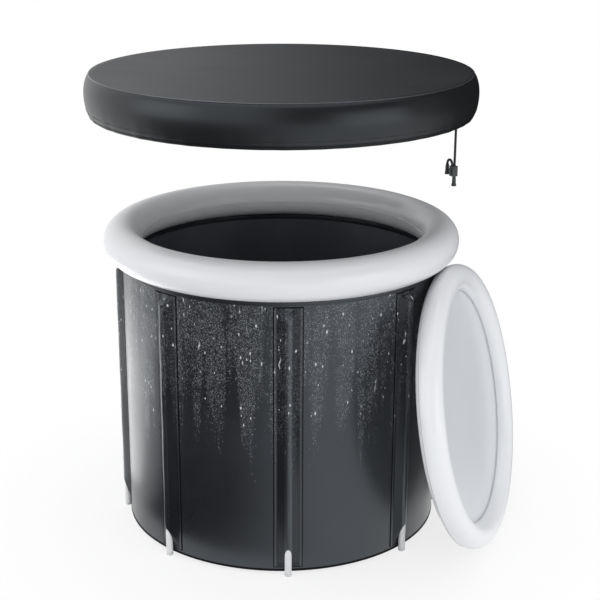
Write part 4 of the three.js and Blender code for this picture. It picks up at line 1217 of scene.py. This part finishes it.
class TUB_OT_cover(bpy.types.Operator):
    """Makes the cover: its panel, piping, skirt, lining, padding, hem cord and eyelet"""

    bl_idname = "plunge_tub.cover"
    bl_label = "Cover"
    bl_options = {"REGISTER", "UNDO"}

    def skirt_line(self, cover):
        """The skirt in section, from the seam down over the bulge, round the hem and up inside."""
        hem_height = cover.top - cover.skirt_depth + cover.hem_radius
        start = Vector((cover.edge, cover.top - 0.0018))
        middle = Vector((cover.edge + cover.bulge, cover.top - cover.bulge_drop))
        end = Vector((cover.hem_centre + cover.hem_radius, hem_height))
        widest = (start.y - middle.y) / (start.y - end.y)
        over = middle.x - (start.x + (end.x - start.x) * widest)
        line = []
        for step in range(SKIRT_POINTS):
            share = step / SKIRT_POINTS
            drop = start.y + (end.y - start.y) * share
            chord = start.x + (end.x - start.x) * share
            warp = share ** (math.log(0.5) / math.log(widest))
            line.append((chord + over * math.sin(math.pi * warp) ** 0.72, drop))
        for turn in spaced(0.0, -math.pi, 12):
            line.append((cover.hem_centre + cover.hem_radius * math.cos(turn),
                         hem_height + cover.hem_radius * math.sin(turn)))
        line.append((cover.hem_centre - cover.hem_radius, hem_height + 0.006))
        line.append((cover.hem_centre - cover.hem_radius, hem_height + 0.012))
        return line

    def execute(self, context):
        cover = context.scene.cover_sizes
        self.panel(cover)
        self.skirt(cover)
        self.padding(cover)
        self.hem_cord(cover)
        return {"FINISHED"}

    def panel(self, cover):
        top, under = cover.top, cover.top - cover.fabric
        rings = spaced(0.0, cover.edge, 36)[:-1]
        outline = [(radius, under) for radius in rings]
        outline += [(cover.edge - 0.0004, under), (cover.edge, top - cover.fabric / 2)]
        outline += [(cover.edge - 0.0012, top - 0.0001)]
        outline += [(radius, top) for radius in reversed(rings)]

        def slack(radius, height, turn):
            share = radius / cover.edge
            settle_down = 0.0011 * (1 - share**6) * (math.sin(3 * turn + 0.6) * share**2 - 0.6 * share)
            return radius, height + settle_down

        piece = mesh_piece("cover_panel", *turned(outline, shift=slack), "Cover panel cloth")
        settle(piece, "cover", "cover_fabric", "cover_top")

        # The piping's lighter cloth is a painted highlight along the seam.
        piping = tube_outline(cover.edge + 0.0002, top - 0.0016, 0.0013, 12)
        bead = mesh_piece("cover_piping", *turned(piping), "Cover piping cloth")
        settle(bead, "cover", "cover_fabric")

    def skirt(self, cover):
        line = self.skirt_line(cover)
        inner = []
        for place, point in enumerate(line):
            before = Vector(line[max(place - 1, 0)])
            after = Vector(line[min(place + 1, len(line) - 1)])
            run = (after - before).normalized()
            inner.append((point[0] + run.y * cover.fabric, point[1] - run.x * cover.fabric))
        strip = list(reversed(line)) + inner
        top, drop = cover.top, cover.skirt_depth

        def gathers(radius, height, turn):
            low = max(0.0, (top - height) / drop - 0.35) / 0.65
            wave = math.sin(41 * turn) + 0.7 * math.sin(67 * turn + 0.8) + 0.5 * math.sin(23 * turn + 2.1)
            return radius + 0.00045 * wave * low**2, height

        shape = turned(strip, SKIRT_STEPS, shift=gathers)
        piece = mesh_piece("cover_skirt_cloth", *shape, "Cover skirt cloth", crease=50.0)
        # The faces round the rolled hem take a copy of the cloth at 0.6 of its colour and with little gloss:
        # painted shade along the cover's lower edge.
        piece.data.materials.append(finish_of("Cover hem cloth"))
        hem_top = line[SKIRT_POINTS - 1][1]
        for face in piece.data.polygons:
            if face.center.z < hem_top:
                face.material_index = 1
        settle(piece, "cover", "cover_fabric", "cover_skirt")

        radius, height = line[SKIRT_POINTS - 3]
        stitches = stitch_row("cover_hem_stitches", radius + 0.0002, height, 420, 0.0023, lean=-0.12)
        settle(stitches, "cover", "cover_fabric")

    def padding(self, cover):
        lining = cover.seat + 0.001
        reach = cover.edge - cover.fabric - FIT_GAP
        disc = eased([(0.0, cover.seat), (reach, cover.seat), (reach, lining), (0.0, lining)], 0.0004)
        piece = mesh_piece("cover_underside", *turned(divided(disc, 0.03)), "Cover panel cloth")
        settle(piece, "cover", "black_fabric", "cover_lining")
        low = lining + FIT_GAP
        high = cover.top - cover.fabric - 0.0032
        pad = eased([(0.0, low), (reach, low), (reach, high), (0.0, high)], 0.002)
        piece = mesh_piece("cover_padding", *turned(pad, PADDING_STEPS), "Padding foam")
        settle(piece, "cover", "foam", "cover_foam")

    def hem_cord(self, cover):
        low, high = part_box("drawstring_loop")
        loop = tube_outline(cover.hem_centre, (low.z + high.z) / 2, cover.cord / 2, 12)
        piece = mesh_piece("hem_cord", *turned(loop), "Drawstring braid")
        settle(piece, "cover", "cord_weave", "drawstring_loop")

        low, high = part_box("cord_eyelet")
        bore = cover.cord / 2 + FIT_GAP
        neck = bore + 0.0012
        flange = neck + 0.002
        bottom = low.z
        profile = eased([
            (bore, bottom + 0.0003), (bore + 0.0008, bottom), (flange - 0.0004, bottom + 0.0003),
            (flange, bottom + 0.0015), (neck, bottom + 0.0015), (neck, high.z), (bore, high.z),
        ], 0.0005)
        shape = turned(profile, SMALL_STEPS)
        piece = mesh_piece("hem_eyelet", *shape, "Eyelet metal", place=cord_frame(cover))
        settle(piece, "cover", "eyelet_metal", "cord_eyelet")


class TUB_OT_cord_lock(bpy.types.Operator):
    """Finishes the cord lock and its button"""

    bl_idname = "plunge_tub.cord_lock"
    bl_label = "Cord Lock"
    bl_options = {"REGISTER", "UNDO"}

    def execute(self, context):
        for node in ("cord_lock_body", "cord_lock_button"):
            smooth_node(node, "Lock plastic", 0.0008)
        return {"FINISHED"}


class TUB_OT_lid(bpy.types.Operator):
    """Makes the inflated lid: its tube, its sheet and the weld between them"""

    bl_idname = "plunge_tub.lid"
    bl_label = "Inflated Lid"
    bl_options = {"REGISTER", "UNDO"}

    def execute(self, context):
        cover = context.scene.cover_sizes
        place = lid_frame(cover)
        outline = tube_outline(cover.lid_radius, 0.0, cover.lid_tube, 56)
        ring = mesh_piece("lid_tube", *turned(outline, LID_STEPS), "Lid vinyl", place=place)
        settle(ring, "lid", "lid_vinyl", "lid_ring")

        depth = -cover.sheet_depth
        reach = cover.lid_radius - math.sqrt(cover.lid_tube**2 - depth**2)
        half_sheet = 0.0007
        front = [(radius, depth + half_sheet) for radius in spaced(0.0, reach, 30)]
        back = [(radius, depth - half_sheet) for radius, _ in reversed(front)]

        def billow(radius, height, turn):
            share = radius / reach
            wrinkle = 0.0009 * math.sin(13 * turn + 3 * share) * share**8 * (1 - share) * 9
            return radius, height - 0.003 * (1 - share**2) + wrinkle

        shape = turned(front + back, LID_STEPS, shift=billow)
        sheet = mesh_piece("lid_sheet", *shape, "Lid sheet vinyl", place=place)
        settle(sheet, "lid", "membrane_vinyl", "lid_membrane")

        tuck = math.asin(-depth / cover.lid_tube)
        spot = cover.lid_tube - 0.0001
        for name, lean in (("lid_weld_inner", tuck - 0.10), ("lid_weld_outer", math.pi - 0.6)):
            centre = (cover.lid_radius - spot * math.cos(lean), -spot * math.sin(lean))
            bead = tube_outline(*centre, 0.0011, 10)
            seam = mesh_piece(name, *turned(bead, LID_STEPS), "Weld seam vinyl", place=place)
            settle(seam, "lid", "lid_vinyl")
        return {"FINISHED"}


class TUB_OT_valves(bpy.types.Operator):
    """Fits the air valves of the ring and the lid"""

    bl_idname = "plunge_tub.valves"
    bl_label = "Air Valves"
    bl_options = {"REGISTER", "UNDO"}

    def execute(self, context):
        sizes = context.scene.tub_sizes
        cover = context.scene.cover_sizes
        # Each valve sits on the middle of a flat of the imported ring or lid.
        ring_facets, ring_sides = 48, 16
        lid_facets, lid_sides, lid_valve_facet = 40, 12, 8.5
        half_facet = math.pi / ring_facets
        drop = 2 * math.pi / ring_sides
        inward = (sizes.ring_radius - sizes.ring_tube * math.cos(drop)) * math.cos(half_facet)
        ring = (
            Matrix.Rotation(half_facet, 4, "Z")
            @ Matrix.Translation((0.0, -inward, sizes.ring_height - sizes.ring_tube * math.sin(drop)))
            @ Matrix.Rotation(-math.pi / 2 - drop, 4, "X")
            @ Matrix.Rotation(math.pi, 4, "Z")
        )
        self.valve("ring", ring, "tub", "ring_valve_cap")

        half_facet = math.pi / lid_facets
        turn = 2 * half_facet * lid_valve_facet
        reach = cover.lid_radius * math.cos(half_facet)
        sink = cover.lid_tube * math.cos(math.pi / lid_sides)
        spot = (reach * math.cos(turn), reach * math.sin(turn), -sink)
        lid = (
            lid_frame(cover) @ Matrix.Translation(spot)
            @ Matrix.Rotation(turn + math.pi / 2, 4, "Z") @ Matrix.Rotation(math.pi, 4, "X")
        )
        self.valve("lid", lid, "lid", "lid_valve_cap")
        return {"FINISHED"}

    def valve(self, prefix, place, body, cap_body):
        bore, neck, flange = 0.0046, 0.007, 0.013
        top = FIT_GAP + 0.002
        profile = eased([
            (bore, -0.009), (neck, -0.009), (neck, -0.003), (flange + 0.0008, -0.003),
            (flange + 0.0002, 0.0006), (flange - 0.0012, top), (0.0096, top), (0.0092, top - 0.0005),
            (0.0088, top), (bore, top),
        ], 0.0006)
        piece = mesh_piece(f"{prefix}_valve", *turned(profile, SMALL_STEPS), "Valve plastic", place=place)
        settle(piece, body, "valve_plastic", f"{prefix}_valve_body")

        low = top + FIT_GAP
        high = low + 0.003
        plug = eased([
            (0.0, top - 0.004), (0.003, top - 0.004), (bore - 2 * FIT_GAP, low), (0.0085, low),
            (0.0085, high), (0.0070, high), (0.0066, high - 0.0006), (0.0, high - 0.0006),
        ], 0.0006)
        points, faces = turned(plug, SMALL_STEPS)
        self.strap(points, faces, low, high)
        cap = mesh_piece(f"{prefix}_valve_plug", points, faces, "Valve plastic", place=place)
        settle(cap, cap_body, "valve_plastic", f"{prefix}_valve_cap")

    def strap(self, points, faces, low, high):
        """Adds a strip from the cap's edge that ends in a round knuckle on the hinge."""
        half, bevel = 0.0035, 0.0005
        middle = (low + high) / 2
        reach = (high - low) / 2
        outline = [(-0.0062, high - 0.0006), (-0.0085, high - 0.0009)]
        outline += [(-0.011 + reach * math.cos(turn), middle + reach * math.sin(turn))
                    for turn in spaced(0.3 * math.pi, 1.7 * math.pi, 12)]
        outline += [(-0.0085, low + 0.0004), (-0.0062, low + 0.0004)]
        rings = ((-half, bevel), (-half + bevel, 0.0), (half - bevel, 0.0), (half, bevel))
        faces.extend(bridged(len(points), len(rings), len(outline)))
        for across, inset in rings:
            shrink = 1.0 - inset / reach
            points.extend((across, y, middle + (z - middle) * shrink) for y, z in outline)


class TUB_OT_drain(bpy.types.Operator):
    """Fits the drain with its seals, nut, cap and stopper"""

    bl_idname = "plunge_tub.drain"
    bl_label = "Drain"
    bl_options = {"REGISTER", "UNDO"}

    def execute(self, context):
        sizes = context.scene.tub_sizes
        place = drain_frame(sizes)
        wall = sizes.wall_radius
        liner = wall - wall_layers(sizes)
        seat = liner - 0.003
        end = wall + 0.032
        tube, bore, flange = 0.013, 0.009, 0.024
        thread_depth, thread_pitch = 0.0007, 0.0011
        thread = [
            (tube - (thread_depth if ridge % 2 else 0.0), end - 0.001 - thread_pitch * ridge)
            for ridge in range(13)
        ]
        fitting = eased([
            (bore, seat - 0.0035), (flange - 0.001, seat - 0.0035), (flange, seat - 0.0022), (flange, seat),
            (tube - 0.0003, seat), *reversed(thread), (bore, end),
        ], 0.0005)
        piece = mesh_piece("drain_body", *turned(fitting, SMALL_STEPS), "Drain plastic", place=place)
        settle(piece, "tub", "drain_plastic", "drain_fitting")
        self.seal("drain_inner_seal", "drain_gasket", place, tube, flange, seat + FIT_GAP, liner, True)
        self.seal("drain_outer_seal", "drain_washer", place, tube, flange, wall, wall + 0.003, False)
        smooth_node("drain_nut", "Drain plastic", 0.0009)
        smooth_node("drain_cap", "Drain plastic", 0.0008)

        low = end + FIT_GAP
        high = low + 0.002
        edge = tube - FIT_GAP
        disc = eased([(0.0, low), (edge, low), (edge, high), (0.0, high)], 0.0005)
        piece = mesh_piece("drain_cap_disc", *turned(disc, SMALL_STEPS), "Seal rubber", place=place)
        settle(piece, "drain_cap_seal", "rubber", "drain_cap_seal")
        smooth_node("drain_stopper", "Seal rubber", 0.0008)
        return {"FINISHED"}

    def seal(self, name, node, place, hole, flange, low, high, inside):
        """A flat ring whose face on the wall follows the wall's round."""
        ring = divided([(hole + FIT_GAP, low), (flange, low), (flange, high), (hole + FIT_GAP, high)], 0.003)
        points, faces = turned(eased(ring, 0.0005), SMALL_STEPS)
        wall = high if inside else low
        curved = []
        for x, y, z in points:
            round_face = math.sqrt(max(wall**2 - x**2, 0.0)) - wall
            share = (z - low) / (high - low)
            curved.append((x, y, z + round_face * (share if inside else 1 - share)))
        piece = mesh_piece(name, curved, faces, "Seal rubber", place=place)
        settle(piece, "tub", "rubber", node)


class TUB_OT_stage(bpy.types.Operator):
    """Lays the pale floor and sets the studio light"""

    bl_idname = "plunge_tub.stage"
    bl_label = "Floor and Light"
    bl_options = {"REGISTER", "UNDO"}

    def execute(self, context):
        scene = context.scene
        scene.view_settings.view_transform = "Standard"
        self.floor(scene)
        self.world(scene)
        self.lamp("Key softbox", (-3.0, -2.8, 2.0), (0.0, 0.0, 0.7), (2.6, 2.4), 21.0)
        self.lamp("Right softbox", (3.5, -1.3, 1.2), (0.1, 0.0, 0.6), (2.6, 1.6), 21.0)
        self.lamp("Top softbox", (-0.9, 0.4, 4.2), (0.0, 0.0, 0.7), (3.0, 3.0), 40.0)
        self.lamp("Left floor light", (-1.08, 0.42, 0.012), (-1.08, 0.42, 2.0), (1.2, 1.2), 6.5)
        self.flag("Floor flag on the left", (-68.0, -46.0, -14.0, 44.0), (0.46, 9.0), (0.0015, 0.0015))
        self.flag("Floor flag on the right", (84.0, 140.0, 185.0, 205.0), (0.46, 9.0), (0.0015, 0.0015))
        self.flag("Standing flag in front", (2.0, 30.0, 92.0, 120.0), (4.5, 4.5), (0.6, 6.0))
        self.flag("Standing flag behind", (95.0, 120.0, 188.0, 224.0), (4.5, 4.5), (0.2, 7.0))
        return {"FINISHED"}

    def flag(self, name, turns, reach, rise):
        """A dark card that only reflections see. In degrees round the tub, it fades in between the first two
        of the turns and out between the last two."""
        fade_in, full, still_full, fade_out = (math.radians(turn) for turn in turns)
        middle = (fade_in + fade_out) / 2
        steps = 24
        points = []
        for turn in spaced(fade_in - middle, fade_out - middle, steps):
            points += [round_the_tub(turn, radius, height) for radius, height in zip(reach, rise)]
        faces = [(2 * step, 2 * step + 1, 2 * step + 3, 2 * step + 2) for step in range(steps)]
        mesh = bpy.data.meshes.new(name)
        mesh.from_pydata(points, [], faces)
        ends = [turn - middle for turn in (fade_in, full, still_full, fade_out)]
        mesh.materials.append(self.flag_cloth(name, ends))
        card = bpy.data.objects.new(name, mesh)
        card.rotation_euler.z = middle
        card.visible_camera = False
        card.visible_diffuse = False
        card.visible_transmission = False
        card.visible_shadow = False
        bpy.context.scene.collection.objects.link(card)

    def flag_cloth(self, name, ends):
        material = plain_material(name)
        tree = material.node_tree
        black = add_node(tree, "ShaderNodeBsdfDiffuse")
        black.inputs["Color"].default_value = (0.02, 0.02, 0.02, 1.0)
        clear = add_node(tree, "ShaderNodeBsdfTransparent")
        x, y, _ = split(tree, object_point(tree))
        turn = maths(tree, "ARCTAN2", x, maths(tree, "MULTIPLY", y, -1.0))
        begun = ramp(tree, turn, ends[0], ends[1])
        lasting = ramp(tree, turn, ends[3], ends[2])
        mix_shaders(tree, maths(tree, "MULTIPLY", begun, lasting), clear, black)
        return material

    def lamp(self, name, spot, aim, size, power):
        light = bpy.data.lights.new(name, "AREA")
        light.shape = "RECTANGLE"
        light.size, light.size_y = size
        light.energy = power
        lamp = bpy.data.objects.new(name, light)
        lamp.location = spot
        lamp.visible_camera = False
        lamp.rotation_euler = (Vector(aim) - Vector(spot)).to_track_quat("-Z", "Y").to_euler()
        bpy.context.scene.collection.objects.link(lamp)

    def floor(self, scene):
        material = plain_material("Pale floor")
        tree = material.node_tree
        paper = add_node(tree, "ShaderNodeBsdfDiffuse")
        paper.inputs["Color"].default_value = (0.92, 0.92, 0.92, 1.0)
        white = add_node(tree, "ShaderNodeEmission")
        away = add_node(tree, "ShaderNodeVectorMath", operation="LENGTH")
        feed(tree, away.inputs[0], object_point(tree))
        path = add_node(tree, "ShaderNodeLightPath").outputs
        whiteness = ramp(tree, away.outputs["Value"], 0.5, 1.0, 0.78, 1.0)
        share = maths(tree, "MULTIPLY", whiteness, path["Is Camera Ray"])
        share = maths(tree, "MAXIMUM", share, path["Is Glossy Ray"])
        mix_shaders(tree, share, paper, white)
        size = 40.0
        corners = [(-size, -size, 0), (size, -size, 0), (size, size, 0), (-size, size, 0)]
        mesh = bpy.data.meshes.new("floor")
        mesh.from_pydata(corners, [], [(0, 1, 2, 3)])
        mesh.materials.append(material)
        floor = bpy.data.objects.new("floor", mesh)
        floor.location.z = -0.0005
        scene.collection.objects.link(floor)

    def world(self, scene):
        world = bpy.data.worlds.new("Studio")
        world.use_nodes = True
        scene.world = world
        tree = world.node_tree
        soft = tree.nodes["Background"]
        soft.inputs["Color"].default_value = (0.98, 0.99, 1.0, 1.0)
        soft.inputs["Strength"].default_value = 0.9
        white = add_node(tree, "ShaderNodeBackground")
        white.inputs["Color"].default_value = (1.0, 1.0, 1.0, 1.0)
        path = add_node(tree, "ShaderNodeLightPath").outputs
        seen = maths(tree, "MAXIMUM", path["Is Camera Ray"], path["Is Glossy Ray"])
        seen = maths(tree, "MAXIMUM", seen, path["Is Transmission Ray"])
        mix_shaders(tree, seen, soft, white, "World Output")


STEPS = (
    TUB_OT_camera,
    TUB_OT_cords,
    TUB_OT_wall,
    TUB_OT_edge_tape,
    TUB_OT_ring,
    TUB_OT_sleeves,
    TUB_OT_poles,
    TUB_OT_cover,
    TUB_OT_cord_lock,
    TUB_OT_lid,
    TUB_OT_valves,
    TUB_OT_drain,
    TUB_OT_stage,
)


class TUB_PT_sidebar(bpy.types.Panel):
    """Lists the steps and the sizes of the cold plunge tub"""

    bl_idname = "TUB_PT_sidebar"
    bl_label = "Cold Plunge Tub"
    bl_space_type = "VIEW_3D"
    bl_region_type = "UI"
    bl_category = "Plunge Tub"

    def draw(self, context):
        for step in STEPS:
            self.layout.operator(step.bl_idname)
        for group in (context.scene.tub_sizes, context.scene.cover_sizes, context.scene.tub_colours):
            box = self.layout.box()
            for name in group.__annotations__:
                box.prop(group, name)


CLASSES = (TubSizes, CoverSizes, TubColours, *STEPS, TUB_PT_sidebar)


def register():
    for entry in CLASSES:
        bpy.utils.register_class(entry)
    bpy.types.Scene.tub_sizes = bpy.props.PointerProperty(type=TubSizes)
    bpy.types.Scene.cover_sizes = bpy.props.PointerProperty(type=CoverSizes)
    bpy.types.Scene.tub_colours = bpy.props.PointerProperty(type=TubColours)


def unregister():
    del bpy.types.Scene.tub_colours
    del bpy.types.Scene.cover_sizes
    del bpy.types.Scene.tub_sizes
    for entry in reversed(CLASSES):
        bpy.utils.unregister_class(entry)


def main():
    register()
    bpy.ops.plunge_tub.camera()
    bpy.ops.plunge_tub.cords()
    bpy.ops.plunge_tub.wall()
    bpy.ops.plunge_tub.edge_tape()
    bpy.ops.plunge_tub.ring()
    bpy.ops.plunge_tub.sleeves()
    bpy.ops.plunge_tub.poles()
    bpy.ops.plunge_tub.cover()
    bpy.ops.plunge_tub.cord_lock()
    bpy.ops.plunge_tub.lid()
    bpy.ops.plunge_tub.valves()
    bpy.ops.plunge_tub.drain()
    bpy.ops.plunge_tub.stage()


if __name__ == "__main__":
    main()
